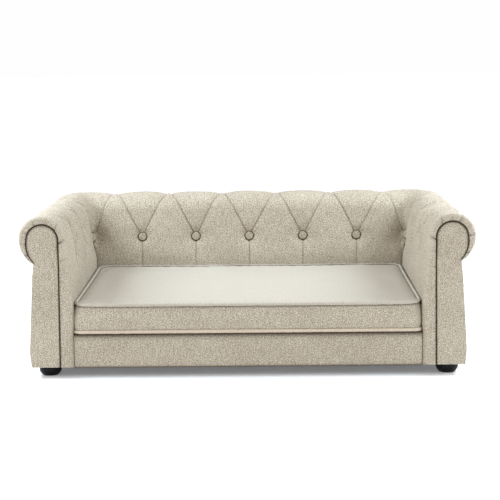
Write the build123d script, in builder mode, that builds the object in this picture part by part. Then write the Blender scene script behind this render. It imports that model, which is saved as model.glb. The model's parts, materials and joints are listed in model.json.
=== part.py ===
# A small sofa for a pet: two rolled arms and a rolled back with buttoned padding, a loose
# seat cushion with piped edges, an upholstered front rail and four short round feet.
# Millimetres. +X is to the right seen from the front, +Y to the back, +Z up.
# The origin is on the floor, under the middle of the sofa.
from build123d import *
from math import asin, atan2, cos, degrees, hypot, radians, sin, sqrt
import os

# Overall sizes
overall_width = 1000
overall_depth = 600
overall_height = 360
foot_height = 25

# The wall: one section makes both arms and the back. Widths run outward from the seat side.
wall_width = 114
wall_foot_inset = 20.5
neck_inset = 33
neck_below_roll = 56
roll_radius = 49
lean_start_height = 165

# Timber and boards
rail_bottom_height = 28
rail_height = 60
rail_thickness = 18
outer_rail_gap = 0.2
deck_thickness = 9
deck_lining_thickness = 3
liner_thickness = 3
liner_top_gap = 2
post_gap = 1.2
post_outer_gap = 1.3
roll_rail_depth = 42
roll_rail_height = 18
roll_rail_drop = 12
neck_rail_gap = 2
neck_rail_height = 18
neck_rail_drop = 20
wall_stud_gap = 1.3
wall_stud_depth = 14
wall_stud_face = 30
wall_stud_bearing = 11
back_stud_spacing = 220
arm_stud_y = -40
front_block_depth = 50
front_board_thickness = 15

# Arm facings: the shaped panels on the front of the arms
facing_thickness = 10
facing_recess = 7
facing_foot_width = 30
facing_head_radius = 35
facing_head_offset = 3
facing_head_drop = 2
facing_shoulder_inset = 4
facing_shoulder_drop = 32
facing_neck_offset = 0.5
facing_neck_rise = 4
facing_edge_radius = 3.5
facing_overlap = 4
facing_pocket_gap = 0.4

# Padding and its tufts. A rounded edge runs back and in by shares of its radius.
rim_radius_share = 0.12
round_edge_shares = [(0, 1), (0.134, 0.5), (0.5, 0.134), (1, 0)]
arm_front_length = 35
back_button_count = 5
back_end_share = 0.838
arm_button_count = 2
button_drop = 110
button_radius = 11
button_thickness = 7.5
button_edge_drop = 3
button_crown_radius = 8.5
button_crown_drop = 0.9
button_tip_radius = 3
button_side_count = 20
button_sink = 13
dimple_mouth_radius = 19
dimple_floor_radius = 12.5
dimple_fold_count = 12
pillow_crown = 2.5
padding_bow = 1.2
pull_share = 0.35
pleat_width = 2.4
pleat_depth = 3.5
pleat_top_drop = 8
tie_radius = 0.8
tie_hole_radius = 1.2
tie_side_count = 6
tie_knot_radius = 5
tie_knot_thickness = 1.5

# Outer panels, front rail pad and dust cover
outer_panel_thickness = 5.7
front_pad_edge_radius = 4
dust_cover_thickness = 1.5
dust_cover_inset = 9

# Feet and their fixings
foot_radius = 25
foot_sole_radius = 18
foot_belly_height = 13
foot_top_radius = 23.5
front_foot_inset = 35
front_foot_setback = 24
rear_foot_inset = 36
stud_radius = 4
stud_bottom_height = 7
stud_length = 55
insert_radius = 6
insert_length = 16
insert_flange_radius = 10
insert_side_count = 12

# Seat cushion
cushion_side_gap = 3.5
cushion_back_gap = 2.5
cushion_front_gap = 1
cushion_corner_radius = 16
cushion_edge_height = 70.3
cushion_crown = 9
piping_radius = 4.2
piping_side_count = 10
cloth_thickness = 1.5
panel_inset = 7.9
band_inset = 5
band_draw_in = 1.8
foam_inset = 8.8
crown_shares = [(-1, 0.05), (-0.8, 0.62), (-0.4, 0.93), (0, 1), (0.4, 0.93), (0.8, 0.62), (1, 0.05)]

# Cushion zip
zip_length = 600
zip_tape_height = 9.6
zip_tape_thickness = 1.2
zip_coil_height = 4
zip_coil_thickness = 1.6
zip_stop_length = 4
zip_stop_height = 7
zip_stop_thickness = 2.6
zip_end_margin = 10
zip_slider_length = 11
zip_slider_height = 9
zip_slider_thickness = 4.2
zip_pin_radius = 1.2
zip_pin_head_radius = 2.4
zip_pin_head_thickness = 0.5
zip_pull_length = 20
zip_pull_width = 6
zip_pull_thickness = 1
zip_pull_hole_radius = 1.5

# Clearances
fit_gap = 0.3
slide_gap = 0.15
bore_gap = 0.1
cut_overrun = 20

# Places worked out from the sizes above
seat_half_width = overall_width / 2 - wall_width
seat_back_y = overall_depth / 2 - wall_width
front_y = -overall_depth / 2
board_front_y = front_y + facing_thickness
board_back_y = board_front_y + front_board_thickness
rim_y = board_front_y - facing_recess
arm_front_end_y = rim_y + arm_front_length
rail_top_height = rail_bottom_height + rail_height
deck_top_height = rail_top_height + deck_thickness
seat_floor_height = deck_top_height + deck_lining_thickness
dust_cover_height = rail_bottom_height - dust_cover_thickness
wall_foot_width = wall_width - wall_foot_inset
neck_width = wall_width - neck_inset
roll_centre_width = wall_width - roll_radius
roll_centre_height = overall_height - roll_radius
neck_height = roll_centre_height - neck_below_roll
button_height = overall_height - button_drop
facing_head_width = roll_centre_width - facing_head_offset
facing_head_height = roll_centre_height - facing_head_drop
wall_core_width = facing_head_width
rim_radius = roll_radius * rim_radius_share
front_foot_width = wall_foot_width - front_foot_inset
rear_foot_width = (wall_foot_width - rear_foot_inset) / sqrt(2)
roll_rail_width = facing_head_width - roll_rail_depth / 2
roll_rail_bottom = facing_head_height - roll_rail_drop
neck_rail_bottom = neck_height - neck_rail_drop
liner_top_height = roll_rail_bottom - liner_top_gap
outer_inset = outer_panel_thickness + fit_gap
base_heights = (rail_bottom_height, rail_top_height)
roll_rail_heights = (roll_rail_bottom, roll_rail_bottom + roll_rail_height)
neck_rail_heights = (neck_rail_bottom, neck_rail_bottom + neck_rail_height)
arm_turn = Axis((seat_half_width, seat_back_y, 0), (0, 0, 1))
back_turn = Axis((seat_half_width, seat_back_y, 0), (0, 0, -1))
eighth_turn_angle = 45


def hollow_width(height):
    """Where the seat side of the hollow inside the wall stands at this height."""
    share = (height - foot_height) / (facing_head_height - foot_height)
    top_width = facing_head_width - facing_head_radius
    return facing_foot_width + facing_overlap + share * (top_width - facing_foot_width)


def outer_face_width(height):
    """Where the outer side of the wall stands at this height, below the roll."""
    share = (height - foot_height) / (neck_height - foot_height)
    return wall_foot_width + share * (neck_width - wall_foot_width)


# The frame inside the wall stands between the liner and the outer panels, and the base rails
# stand under it
liner_widths = (hollow_width(deck_top_height), hollow_width(liner_top_height))
wall_stud_width = max(liner_widths) + liner_thickness + wall_stud_gap
neck_rail_width = wall_stud_width + wall_stud_depth
neck_rail_depth = neck_width - outer_inset - neck_rail_gap - neck_rail_width
post_width = wall_stud_width / sqrt(2) + post_gap
post_size = (neck_width - outer_inset) / sqrt(2) - post_width - post_outer_gap
liner_reach = min(post_width, *liner_widths) - fit_gap
inner_rail_width = wall_stud_width + wall_stud_bearing - rail_thickness
outer_rail_reach = outer_face_width(rail_top_height) - outer_inset - outer_rail_gap
outer_rail_width = outer_rail_reach - rail_thickness

# The tuck under the roll: an arc that leaves the roll's side and ends at the neck
tuck_radius = (neck_inset**2 + neck_below_roll**2) / (2 * neck_inset)
tuck_angle = degrees(asin(neck_below_roll / tuck_radius))

# The lean of the seat side: a line from lean_start_height that touches the roll
roll_centre = (roll_centre_width, roll_centre_height)
lean_run = hypot(roll_centre_width, roll_centre_height - lean_start_height)
lean_rise_angle = degrees(atan2(roll_centre_height - lean_start_height, roll_centre_width))
lean_angle = lean_rise_angle + degrees(asin(roll_radius / lean_run))
roll_start_angle = lean_angle + 90

os.makedirs("parts", exist_ok=True)


def save(shape, name):
    shape.label = name
    export_step(shape, f"parts/{name}.step")


def back_plane(x):
    """A plane across the back at x: its X runs outward through the wall, its Y up."""
    return Plane(origin=(x, seat_back_y, 0), x_dir=(0, 1, 0), z_dir=(1, 0, 0))


def arm_plane(y):
    """A plane across the right arm at y: its X runs outward through the wall, its Y up."""
    return Plane(origin=(seat_half_width, y, 0), x_dir=(1, 0, 0), z_dir=(0, -1, 0))


def on_circle(centre, radius, angle):
    return (centre[0] + radius * cos(radians(angle)), centre[1] + radius * sin(radians(angle)))


def lean_width(height):
    """How far the seat side has leaned outward at this height."""
    return max(0, height - lean_start_height) * cos(radians(lean_angle)) / sin(radians(lean_angle))


def slab(x_range, y_range, z_range, mode=Mode.ADD):
    """A box between two corners, given as its low and high value along each axis."""
    ranges = (x_range, y_range, z_range)
    with Locations(tuple((low + high) / 2 for low, high in ranges)):
        Box(*(high - low for low, high in ranges), mode=mode)


# What a station along a padded wall is: plain, at a button, or in the valley between two
PLAIN, BUTTON, VALLEY = "plain", "button", "valley"
pull_at = {PLAIN: 0, BUTTON: button_sink, VALLEY: -pillow_crown}


def wall_profile(station=PLAIN, inset=0, foot=deck_top_height):
    """The padded outline of a wall, closed through the core of the wall."""
    pull = pull_at[station]
    radius = roll_radius - inset
    tuck = tuck_radius - inset
    tuck_centre = (wall_width - tuck_radius, roll_centre_height)
    button = (lean_width(button_height) + pull + inset, button_height)
    roll_start = on_circle(roll_centre, radius, roll_start_angle)
    roll_top = on_circle(roll_centre, radius, 90)
    roll_side = on_circle(roll_centre, radius, 0)
    neck = (neck_width, neck_height)
    lower_height = (lean_start_height + button_height) / 2
    lower_width = lean_width(lower_height) + pull_share * pull + inset - padding_bow
    upper_height = (roll_start[1] + button_height) / 2
    upper_width = (button[0] + roll_start[0] - pull_share * pull) / 2 - padding_bow
    with BuildSketch(Plane.XY) as profile:
        with BuildLine():
            Line((inset, foot), (inset, lean_start_height))
            ThreePointArc((inset, lean_start_height), (lower_width, lower_height), button)
            ThreePointArc(button, (upper_width, upper_height), roll_start)
            ThreePointArc(
                roll_start,
                on_circle(roll_centre, radius, (roll_start_angle + 90) / 2),
                roll_top,
            )
            ThreePointArc(roll_top, on_circle(roll_centre, radius, 45), roll_side)
            ThreePointArc(roll_side, on_circle(tuck_centre, tuck, -tuck_angle / 2), neck)
            Line(neck, (wall_core_width, neck_height))
            Line((wall_core_width, neck_height), (wall_core_width, foot))
            Line((wall_core_width, foot), (inset, foot))
        make_face()
    return profile.sketch


def scroll_outline(inset, outer_inset, foot):
    """The keyhole-like outline of an arm front: the facing, the board behind it, the hollow."""
    head = (facing_head_width, facing_head_height)
    radius = facing_head_radius - inset
    left = on_circle(head, radius, 180)
    top = on_circle(head, radius, 90)
    right = on_circle(head, radius, 0)
    shoulder_width = facing_head_width + facing_head_radius - facing_shoulder_inset
    shoulder = (shoulder_width - outer_inset, facing_head_height - facing_shoulder_drop)
    neck = (neck_width - facing_neck_offset - outer_inset, neck_height + facing_neck_rise)
    heel = (wall_foot_width - outer_inset, foot)
    with BuildSketch(Plane.XY) as outline:
        with BuildLine():
            Line((facing_foot_width + inset, foot), left)
            ThreePointArc(left, on_circle(head, radius, 135), top)
            ThreePointArc(top, on_circle(head, radius, 45), right)
            ThreePointArc(right, shoulder, neck)
            Line(neck, heel)
            Line(heel, (facing_foot_width + inset, foot))
        make_face()
    return outline.sketch


def hollow_profile():
    """The space inside the wall, where the timber frame stands."""
    return scroll_outline(facing_overlap, outer_inset, foot_height)


def tufted_run(plane_at, stations, inset):
    """A wall lofted through its stations, in the order in which they come along the wall."""
    with BuildPart() as run:
        for place, station in stations:
            with BuildSketch(plane_at(place)):
                add(wall_profile(station, inset))
        loft(ruled=True)
    return run.part


def turned(profile, plane, axis, angle=eighth_turn_angle):
    """A profile swept round the right-hand rear corner of the wall."""
    with BuildPart() as corner:
        with BuildSketch(plane):
            add(profile)
        revolve(axis=axis, revolution_arc=angle)
    return corner.part


def pleats(front_plane, along_plane, stations, inside):
    """The folds in the cloth: a slab down and two up from each button, one over each valley."""
    places = [place for place, station in stations]
    fold_top = overall_height - pleat_top_drop
    with BuildPart() as folds:
        with BuildSketch(front_plane):
            for index, (place, station) in enumerate(stations):
                if station != BUTTON:
                    continue
                with Locations((place, (button_height + deck_top_height) / 2)):
                    Rectangle(pleat_width, button_height - deck_top_height)
                for neighbour in (places[index - 1], places[index + 1]):
                    across = neighbour - place
                    up = fold_top - button_height
                    with Locations((place + across / 2, button_height + up / 2)):
                        Rectangle(hypot(across, up), pleat_width, rotation=degrees(atan2(up, across)))
        extrude(amount=-(roll_centre_width + cut_overrun))
        for place, station in stations:
            if station == VALLEY:
                with BuildSketch(along_plane(place)):
                    with Locations((roll_centre_width, roll_centre_height)):
                        Rectangle(wall_width, wall_width, align=(Align.MIN, Align.MIN))
                extrude(amount=pleat_width / 2, both=True)
        add(inside, mode=Mode.SUBTRACT)
    return folds.part


# Where the buttons and valleys come along the back, and along the right arm from its front
back_button_pitch = 2 * seat_half_width / (back_button_count - 1 + 2 * back_end_share)
back_button_places = [
    back_button_pitch * (index - (back_button_count - 1) / 2) for index in range(back_button_count)
]
back_stations = [(-seat_half_width, PLAIN), (back_button_places[0] - back_button_pitch / 2, VALLEY)]
for place in back_button_places:
    back_stations += [(place, BUTTON), (place + back_button_pitch / 2, VALLEY)]
back_stations += [(seat_half_width, PLAIN)]

arm_button_pitch = (seat_back_y - arm_front_end_y) / (arm_button_count + 1)
arm_button_places = [arm_front_end_y + arm_button_pitch * (index + 1) for index in range(arm_button_count)]
arm_stations = [(arm_front_end_y, PLAIN), (arm_front_end_y + arm_button_pitch / 2, VALLEY)]
for place in arm_button_places:
    arm_stations += [(place, BUTTON), (place + arm_button_pitch / 2, VALLEY)]
arm_stations += [(seat_back_y, PLAIN)]

# Where each button sits: a plane on the floor of its dimple, facing the seat
dimple_width = lean_width(button_height) + button_sink
corner_reach = dimple_width / sqrt(2)
tie_hole_length = hollow_width(button_height) + 2 * liner_thickness - dimple_width
back_button_planes = [
    Plane(origin=(place, seat_back_y + dimple_width, button_height), x_dir=(1, 0, 0), z_dir=(0, -1, 0))
    for place in back_button_places
]
arm_button_planes = [
    Plane(origin=(seat_half_width + dimple_width, place, button_height), x_dir=(0, 1, 0), z_dir=(-1, 0, 0))
    for place in arm_button_places
]
corner_button_plane = Plane(
    origin=(seat_half_width + corner_reach, seat_back_y + corner_reach, button_height),
    x_dir=(1, -1, 0),
    z_dir=(-1, -1, 0),
)

# A dimple with the hole for its tie, ready to be cut at each button. Its sides are the folds
# into which the cloth is gathered round a button.
with BuildPart() as dimple:
    with BuildSketch(Plane.XY):
        RegularPolygon(dimple_floor_radius, dimple_fold_count)
    with BuildSketch(Plane.XY.offset(2 * button_sink)):
        RegularPolygon(2 * dimple_mouth_radius - dimple_floor_radius, dimple_fold_count)
    loft(ruled=True)
    with BuildSketch(Plane.XY):
        RegularPolygon(tie_hole_radius, tie_side_count)
    extrude(amount=-tie_hole_length)

with BuildPart() as corner_dimple:
    with Locations(corner_button_plane):
        add(dimple.part)

# Back padding: the tufted run between the arms, and half of each rear corner
back_front_plane = Plane(
    origin=(0, seat_back_y - cut_overrun, 0),
    x_dir=(1, 0, 0),
    z_dir=(0, -1, 0),
)
back_inside = tufted_run(back_plane, back_stations, pleat_depth)
back_end_plane = back_plane(seat_half_width)
with BuildPart() as back_padding:
    add(tufted_run(back_plane, back_stations, 0))
    add(pleats(back_front_plane, back_plane, back_stations, back_inside), mode=Mode.SUBTRACT)
    with BuildSketch(back_plane(-seat_half_width)):
        add(hollow_profile())
    extrude(amount=2 * seat_half_width, mode=Mode.SUBTRACT)
    with Locations(*back_button_planes):
        add(dimple.part, mode=Mode.SUBTRACT)

with BuildPart() as back_corner:
    add(turned(wall_profile(), back_end_plane, back_turn))
    add(turned(hollow_profile(), back_end_plane, back_turn), mode=Mode.SUBTRACT)
    add(corner_dimple.part, mode=Mode.SUBTRACT)

with BuildPart() as whole_back_padding:
    add(back_padding.part)
    add(back_corner.part)
    mirror(back_corner.part, about=Plane.YZ)
save(whole_back_padding.part, "back_padding")

# Arm padding: a plain front with a pocket for the facing, the tufted run, half of a corner
arm_front_plane = Plane(
    origin=(seat_half_width - cut_overrun, 0, 0),
    x_dir=(0, 1, 0),
    z_dir=(-1, 0, 0),
)
with BuildPart() as arm_front:
    for back_share, in_share in round_edge_shares:
        with BuildSketch(arm_plane(rim_y + back_share * rim_radius)):
            add(wall_profile(PLAIN, in_share * rim_radius, foot_height))
    loft(ruled=True)
    with BuildSketch(arm_plane(rim_y + rim_radius)):
        add(wall_profile(foot=foot_height))
    extrude(amount=-(board_back_y - rim_y - rim_radius))
    with BuildSketch(arm_plane(board_back_y)):
        add(wall_profile())
    extrude(amount=-(arm_front_end_y - board_back_y))

arm_inside = tufted_run(arm_plane, arm_stations, pleat_depth)
with BuildPart() as right_arm_padding:
    add(tufted_run(arm_plane, arm_stations, 0))
    add(pleats(arm_front_plane, arm_plane, arm_stations, arm_inside), mode=Mode.SUBTRACT)
    with Locations(*arm_button_planes):
        add(dimple.part, mode=Mode.SUBTRACT)
    add(arm_front.part)
    with BuildSketch(arm_plane(board_front_y)):
        add(hollow_profile())
    extrude(amount=-(seat_back_y - board_front_y), mode=Mode.SUBTRACT)
    with BuildSketch(arm_plane(board_front_y)):
        add(scroll_outline(-facing_pocket_gap, -facing_pocket_gap, foot_height))
    extrude(amount=2 * facing_recess, mode=Mode.SUBTRACT)

with BuildPart() as arm_corner:
    add(turned(wall_profile(), arm_plane(seat_back_y), arm_turn))
    add(turned(hollow_profile(), arm_plane(seat_back_y), arm_turn), mode=Mode.SUBTRACT)
    add(corner_dimple.part, mode=Mode.SUBTRACT)

with BuildPart() as whole_arm_padding:
    add(right_arm_padding.part)
    add(arm_corner.part)
save(whole_arm_padding.part, "right_arm_padding")

with BuildPart() as left_arm_padding:
    mirror(whole_arm_padding.part, about=Plane.YZ)
save(left_arm_padding.part, "left_arm_padding")

# Buttons, covered in the same cloth, with a flat back and a crowned front
button_front = fit_gap + button_thickness
button_sections = [
    (button_edge_drop, button_radius),
    (button_crown_drop, button_crown_radius),
    (0, button_tip_radius),
]
with BuildPart() as button:
    with BuildSketch(Plane.XY.offset(fit_gap)):
        RegularPolygon(button_radius, button_side_count)
    extrude(amount=button_thickness - button_edge_drop)
    for drop, radius in button_sections:
        with BuildSketch(Plane.XY.offset(button_front - drop)):
            RegularPolygon(radius, button_side_count)
    loft(ruled=True)

with BuildPart() as back_buttons:
    with Locations(*back_button_planes):
        add(button.part)
save(back_buttons.part, "back_buttons")

with BuildPart() as corner_buttons:
    with Locations(corner_button_plane):
        add(button.part)
    mirror(about=Plane.YZ)
save(corner_buttons.part, "corner_buttons")

with BuildPart() as arm_buttons:
    with Locations(*arm_button_planes):
        add(button.part)
    mirror(about=Plane.YZ)
save(arm_buttons.part, "arm_buttons")

# Ties: twine from each button through the padding, knotted behind the liner or on a post
liner_back_width = hollow_width(button_height) + liner_thickness + fit_gap
tie_length = liner_back_width - dimple_width
corner_tie_length = post_width * sqrt(2) - dimple_width - fit_gap
with BuildPart() as tie:
    with BuildSketch(Plane.XY.offset(fit_gap)):
        RegularPolygon(tie_radius, tie_side_count)
    extrude(amount=-(fit_gap + tie_length))
    with BuildSketch(Plane.XY.offset(-tie_length)):
        RegularPolygon(tie_knot_radius, tie_side_count)
    extrude(amount=-tie_knot_thickness)

with BuildPart() as corner_tie:
    with BuildSketch(Plane.XY.offset(fit_gap)):
        RegularPolygon(tie_radius, tie_side_count)
    extrude(amount=-(fit_gap + corner_tie_length))

with BuildPart() as right_ties:
    with Locations(*arm_button_planes):
        add(tie.part)
    with Locations(corner_button_plane):
        add(corner_tie.part)

with BuildPart() as button_ties:
    with Locations(*back_button_planes):
        add(tie.part)
    add(right_ties.part)
    mirror(right_ties.part, about=Plane.YZ)
save(button_ties.part, "button_ties")

# Liners: thin sheet that the padding is laid on, from the deck up to the roll rails
with BuildSketch(Plane.XY) as liner_profile:
    with BuildLine():
        Polyline(
            (hollow_width(deck_top_height), deck_top_height),
            (hollow_width(liner_top_height), liner_top_height),
            (hollow_width(liner_top_height) + liner_thickness, liner_top_height),
            (hollow_width(deck_top_height) + liner_thickness, deck_top_height),
            close=True,
        )
    make_face()

with BuildPart() as right_arm_liner:
    with BuildSketch(arm_plane(board_back_y)):
        add(liner_profile.sketch)
    extrude(amount=-(seat_back_y + liner_reach - board_back_y))
    with Locations(*arm_button_planes):
        add(dimple.part, mode=Mode.SUBTRACT)
save(right_arm_liner.part, "right_arm_liner")

with BuildPart() as left_arm_liner:
    mirror(right_arm_liner.part, about=Plane.YZ)
save(left_arm_liner.part, "left_arm_liner")

with BuildPart() as back_liner:
    with BuildSketch(back_plane(0)):
        add(liner_profile.sketch)
    extrude(amount=seat_half_width + liner_reach, both=True)
    with Locations(*back_button_planes):
        add(dimple.part, mode=Mode.SUBTRACT)
save(back_liner.part, "back_liner")

# Base: rails round the seat and under the outer sides of the walls
foot_places = [
    (seat_half_width + front_foot_width, board_back_y + front_foot_setback),
    (seat_half_width + rear_foot_width, seat_back_y + rear_foot_width),
]


with BuildPart() as insert_bores:
    with BuildSketch(Plane.XY.offset(rail_bottom_height)):
        with Locations(*foot_places):
            RegularPolygon(insert_radius + bore_gap, insert_side_count)
    extrude(amount=stud_bottom_height + stud_length + bore_gap - rail_bottom_height)

inner_rail_reach = inner_rail_width + rail_thickness
inner_rail_x = (seat_half_width + inner_rail_width, seat_half_width + inner_rail_reach)
outer_rail_x = (seat_half_width + outer_rail_width, seat_half_width + outer_rail_reach)
front_rail_y = (board_back_y, board_back_y + rail_thickness)
front_block_y = (board_back_y, board_back_y + front_block_depth)

with BuildPart() as base_front_rail:
    slab((-inner_rail_x[0], inner_rail_x[0]), front_rail_y, base_heights)
save(base_front_rail.part, "base_front_rail")

with BuildPart() as base_rear_rail:
    rear_rail_y = (seat_back_y + inner_rail_width, seat_back_y + inner_rail_reach)
    slab((-seat_half_width, seat_half_width), rear_rail_y, base_heights)
save(base_rear_rail.part, "base_rear_rail")

with BuildPart() as base_rear_outer_rail:
    rear_outer_y = (seat_back_y + outer_rail_width, seat_back_y + outer_rail_reach)
    slab((-seat_half_width, seat_half_width), rear_outer_y, base_heights)
save(base_rear_outer_rail.part, "base_rear_outer_rail")

with BuildPart() as base_inner_side_rails:
    slab(inner_rail_x, (front_block_y[1], seat_back_y), base_heights)
    mirror(about=Plane.YZ)
save(base_inner_side_rails.part, "base_inner_side_rails")

with BuildPart() as base_outer_side_rails:
    slab(outer_rail_x, (board_back_y, seat_back_y), base_heights)
    mirror(about=Plane.YZ)
save(base_outer_side_rails.part, "base_outer_side_rails")

with BuildPart() as base_centre_brace:
    brace_x = (-rail_thickness / 2, rail_thickness / 2)
    slab(brace_x, (front_rail_y[1], seat_back_y + inner_rail_width), base_heights)
save(base_centre_brace.part, "base_centre_brace")

with BuildPart() as front_corner_blocks:
    slab((inner_rail_x[0], outer_rail_x[0]), front_block_y, base_heights)
    add(insert_bores.part, mode=Mode.SUBTRACT)
    mirror(about=Plane.YZ)
save(front_corner_blocks.part, "front_corner_blocks")

with BuildPart() as rear_corner_blocks:
    with BuildSketch(arm_plane(seat_back_y)):
        with Locations((0, rail_bottom_height)):
            Rectangle(outer_rail_reach, rail_height, align=(Align.MIN, Align.MIN))
    revolve(axis=arm_turn, revolution_arc=2 * eighth_turn_angle)
    add(insert_bores.part, mode=Mode.SUBTRACT)
    mirror(about=Plane.YZ)
save(rear_corner_blocks.part, "rear_corner_blocks")

# Seat deck with a notch round each corner post, and its lining
post_x = (seat_half_width + post_width, seat_half_width + post_width + post_size)
post_y = (seat_back_y + post_width, seat_back_y + post_width + post_size)
notch_size = post_size + 2 * fit_gap
deck_reach_x = inner_rail_x[1]
with BuildPart() as seat_deck:
    deck_y = (board_back_y, seat_back_y + inner_rail_reach)
    slab((-deck_reach_x, deck_reach_x), deck_y, (rail_top_height, deck_top_height))
    for side in (-1, 1):
        with Locations((side * (post_x[0] + post_size / 2), post_y[0] + post_size / 2)):
            Box(notch_size, notch_size, 2 * overall_height, mode=Mode.SUBTRACT)
save(seat_deck.part, "seat_deck")

with BuildPart() as deck_lining:
    lining_x = seat_half_width - fit_gap
    lining_y = (board_back_y, seat_back_y - fit_gap)
    slab((-lining_x, lining_x), lining_y, (deck_top_height, seat_floor_height))
save(deck_lining.part, "deck_lining")

# Wall frame: posts in the rear corners, studs, roll rails and neck rails
with BuildPart() as corner_posts:
    slab(post_x, post_y, (rail_top_height, roll_rail_bottom))
    mirror(about=Plane.YZ)
save(corner_posts.part, "corner_posts")


def corner_segment(width, depth, z_range):
    """A quarter ring round the right-hand rear corner, at this width through the wall."""
    with BuildPart() as ring:
        with BuildSketch(arm_plane(seat_back_y)):
            with Locations((width, z_range[0])):
                Rectangle(depth, z_range[1] - z_range[0], align=(Align.MIN, Align.MIN))
        revolve(axis=arm_turn, revolution_arc=2 * eighth_turn_angle)
    return ring.part


with BuildPart() as top_corner_blocks:
    add(corner_segment(roll_rail_width, roll_rail_depth, roll_rail_heights))
    mirror(about=Plane.YZ)
save(top_corner_blocks.part, "top_corner_blocks")

with BuildPart() as neck_corner_blocks:
    add(corner_segment(neck_rail_width, neck_rail_depth, neck_rail_heights))
    slab(post_x, post_y, (0, overall_height), mode=Mode.SUBTRACT)
    mirror(about=Plane.YZ)
save(neck_corner_blocks.part, "neck_corner_blocks")

roll_rail_x = (seat_half_width + roll_rail_width, seat_half_width + roll_rail_width + roll_rail_depth)
with BuildPart() as right_arm_top_rail:
    slab(roll_rail_x, (board_back_y, seat_back_y), roll_rail_heights)
save(right_arm_top_rail.part, "right_arm_top_rail")

with BuildPart() as left_arm_top_rail:
    mirror(right_arm_top_rail.part, about=Plane.YZ)
save(left_arm_top_rail.part, "left_arm_top_rail")

with BuildPart() as back_top_rail:
    roll_rail_y = (seat_back_y + roll_rail_width, seat_back_y + roll_rail_width + roll_rail_depth)
    slab((-seat_half_width, seat_half_width), roll_rail_y, roll_rail_heights)
save(back_top_rail.part, "back_top_rail")

with BuildPart() as arm_neck_rails:
    neck_rail_x = (seat_half_width + neck_rail_width, seat_half_width + neck_rail_width + neck_rail_depth)
    slab(neck_rail_x, (board_back_y, seat_back_y), neck_rail_heights)
    mirror(about=Plane.YZ)
save(arm_neck_rails.part, "arm_neck_rails")

with BuildPart() as back_neck_rail:
    neck_rail_y = (seat_back_y + neck_rail_width, seat_back_y + neck_rail_width + neck_rail_depth)
    slab((-seat_half_width, seat_half_width), neck_rail_y, neck_rail_heights)
save(back_neck_rail.part, "back_neck_rail")

with BuildPart() as wall_studs:
    stud_heights = (deck_top_height, roll_rail_bottom)
    arm_stud_x = (seat_half_width + wall_stud_width, seat_half_width + neck_rail_width)
    half_face = wall_stud_face / 2
    slab(arm_stud_x, (arm_stud_y - half_face, arm_stud_y + half_face), stud_heights)
    mirror(about=Plane.YZ)
    for place in (-back_stud_spacing, 0, back_stud_spacing):
        back_stud_y = (seat_back_y + wall_stud_width, seat_back_y + neck_rail_width)
        slab((place - half_face, place + half_face), back_stud_y, stud_heights)
save(wall_studs.part, "wall_studs")

# Front boards behind the facings, and the facings
with BuildPart() as right_arm_front_board:
    with BuildSketch(arm_plane(board_front_y)):
        add(
            scroll_outline(
                facing_overlap + fit_gap,
                outer_inset + fit_gap,
                rail_bottom_height,
            )
        )
    extrude(amount=-front_board_thickness)
save(right_arm_front_board.part, "right_arm_front_board")

with BuildPart() as left_arm_front_board:
    mirror(right_arm_front_board.part, about=Plane.YZ)
save(left_arm_front_board.part, "left_arm_front_board")

with BuildPart() as right_arm_facing:
    for back_share, in_share in round_edge_shares:
        edge_inset = in_share * facing_edge_radius
        with BuildSketch(arm_plane(front_y + back_share * facing_edge_radius)):
            add(scroll_outline(edge_inset, edge_inset, foot_height + edge_inset))
    loft(ruled=True)
    with BuildSketch(arm_plane(board_front_y)):
        add(scroll_outline(0, 0, foot_height))
    extrude(amount=facing_thickness - facing_edge_radius)
save(right_arm_facing.part, "right_arm_facing")

with BuildPart() as left_arm_facing:
    mirror(right_arm_facing.part, about=Plane.YZ)
save(left_arm_facing.part, "left_arm_facing")

# Outer panels below the roll, along the sides, round the rear corners and across the back
with BuildSketch(Plane.XY) as panel_profile:
    with BuildLine():
        Polyline(
            (wall_foot_width, foot_height),
            (neck_width, neck_height - fit_gap),
            (neck_width - outer_panel_thickness, neck_height - fit_gap),
            (wall_foot_width - outer_panel_thickness, foot_height),
            close=True,
        )
    make_face()

with BuildPart() as right_outer_panel:
    with BuildSketch(arm_plane(board_front_y)):
        add(panel_profile.sketch)
    extrude(amount=-(seat_back_y - board_front_y))
    add(turned(panel_profile.sketch, arm_plane(seat_back_y), arm_turn))
save(right_outer_panel.part, "right_outer_panel")

with BuildPart() as left_outer_panel:
    mirror(right_outer_panel.part, about=Plane.YZ)
save(left_outer_panel.part, "left_outer_panel")

with BuildPart() as back_panel_corner:
    add(turned(panel_profile.sketch, back_end_plane, back_turn))

with BuildPart() as back_outer_panel:
    with BuildSketch(back_plane(-seat_half_width)):
        add(panel_profile.sketch)
    extrude(amount=2 * seat_half_width)
    add(back_panel_corner.part)
    mirror(back_panel_corner.part, about=Plane.YZ)
save(back_outer_panel.part, "back_outer_panel")

# Front rail pad between the arm fronts
with BuildPart() as front_rail_pad:
    pad_x = seat_half_width - fit_gap
    slab((-pad_x, pad_x), (board_front_y, board_back_y), (foot_height, seat_floor_height))
    fillet(front_rail_pad.faces().sort_by(Axis.Y)[0].edges(), front_pad_edge_radius)
save(front_rail_pad.part, "front_rail_pad")

# Dust cover under the base, open round each insert
with BuildPart() as dust_cover:
    cover_reach = wall_foot_width - dust_cover_inset
    cover_width = 2 * (seat_half_width + cover_reach)
    cover_y = (board_back_y + fit_gap, seat_back_y + cover_reach)
    with BuildSketch(Plane.XY.offset(dust_cover_height)) as cover_sketch:
        with Locations((0, (cover_y[0] + cover_y[1]) / 2)):
            Rectangle(cover_width, cover_y[1] - cover_y[0])
        fillet(cover_sketch.vertices().group_by(Axis.Y)[-1], cover_reach - fit_gap)
        for foot_x, foot_y in foot_places:
            with Locations((foot_x, foot_y), (-foot_x, foot_y)):
                RegularPolygon(
                    insert_flange_radius + fit_gap,
                    insert_side_count,
                    mode=Mode.SUBTRACT,
                )
    extrude(amount=dust_cover_thickness)
save(dust_cover.part, "dust_cover")

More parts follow.
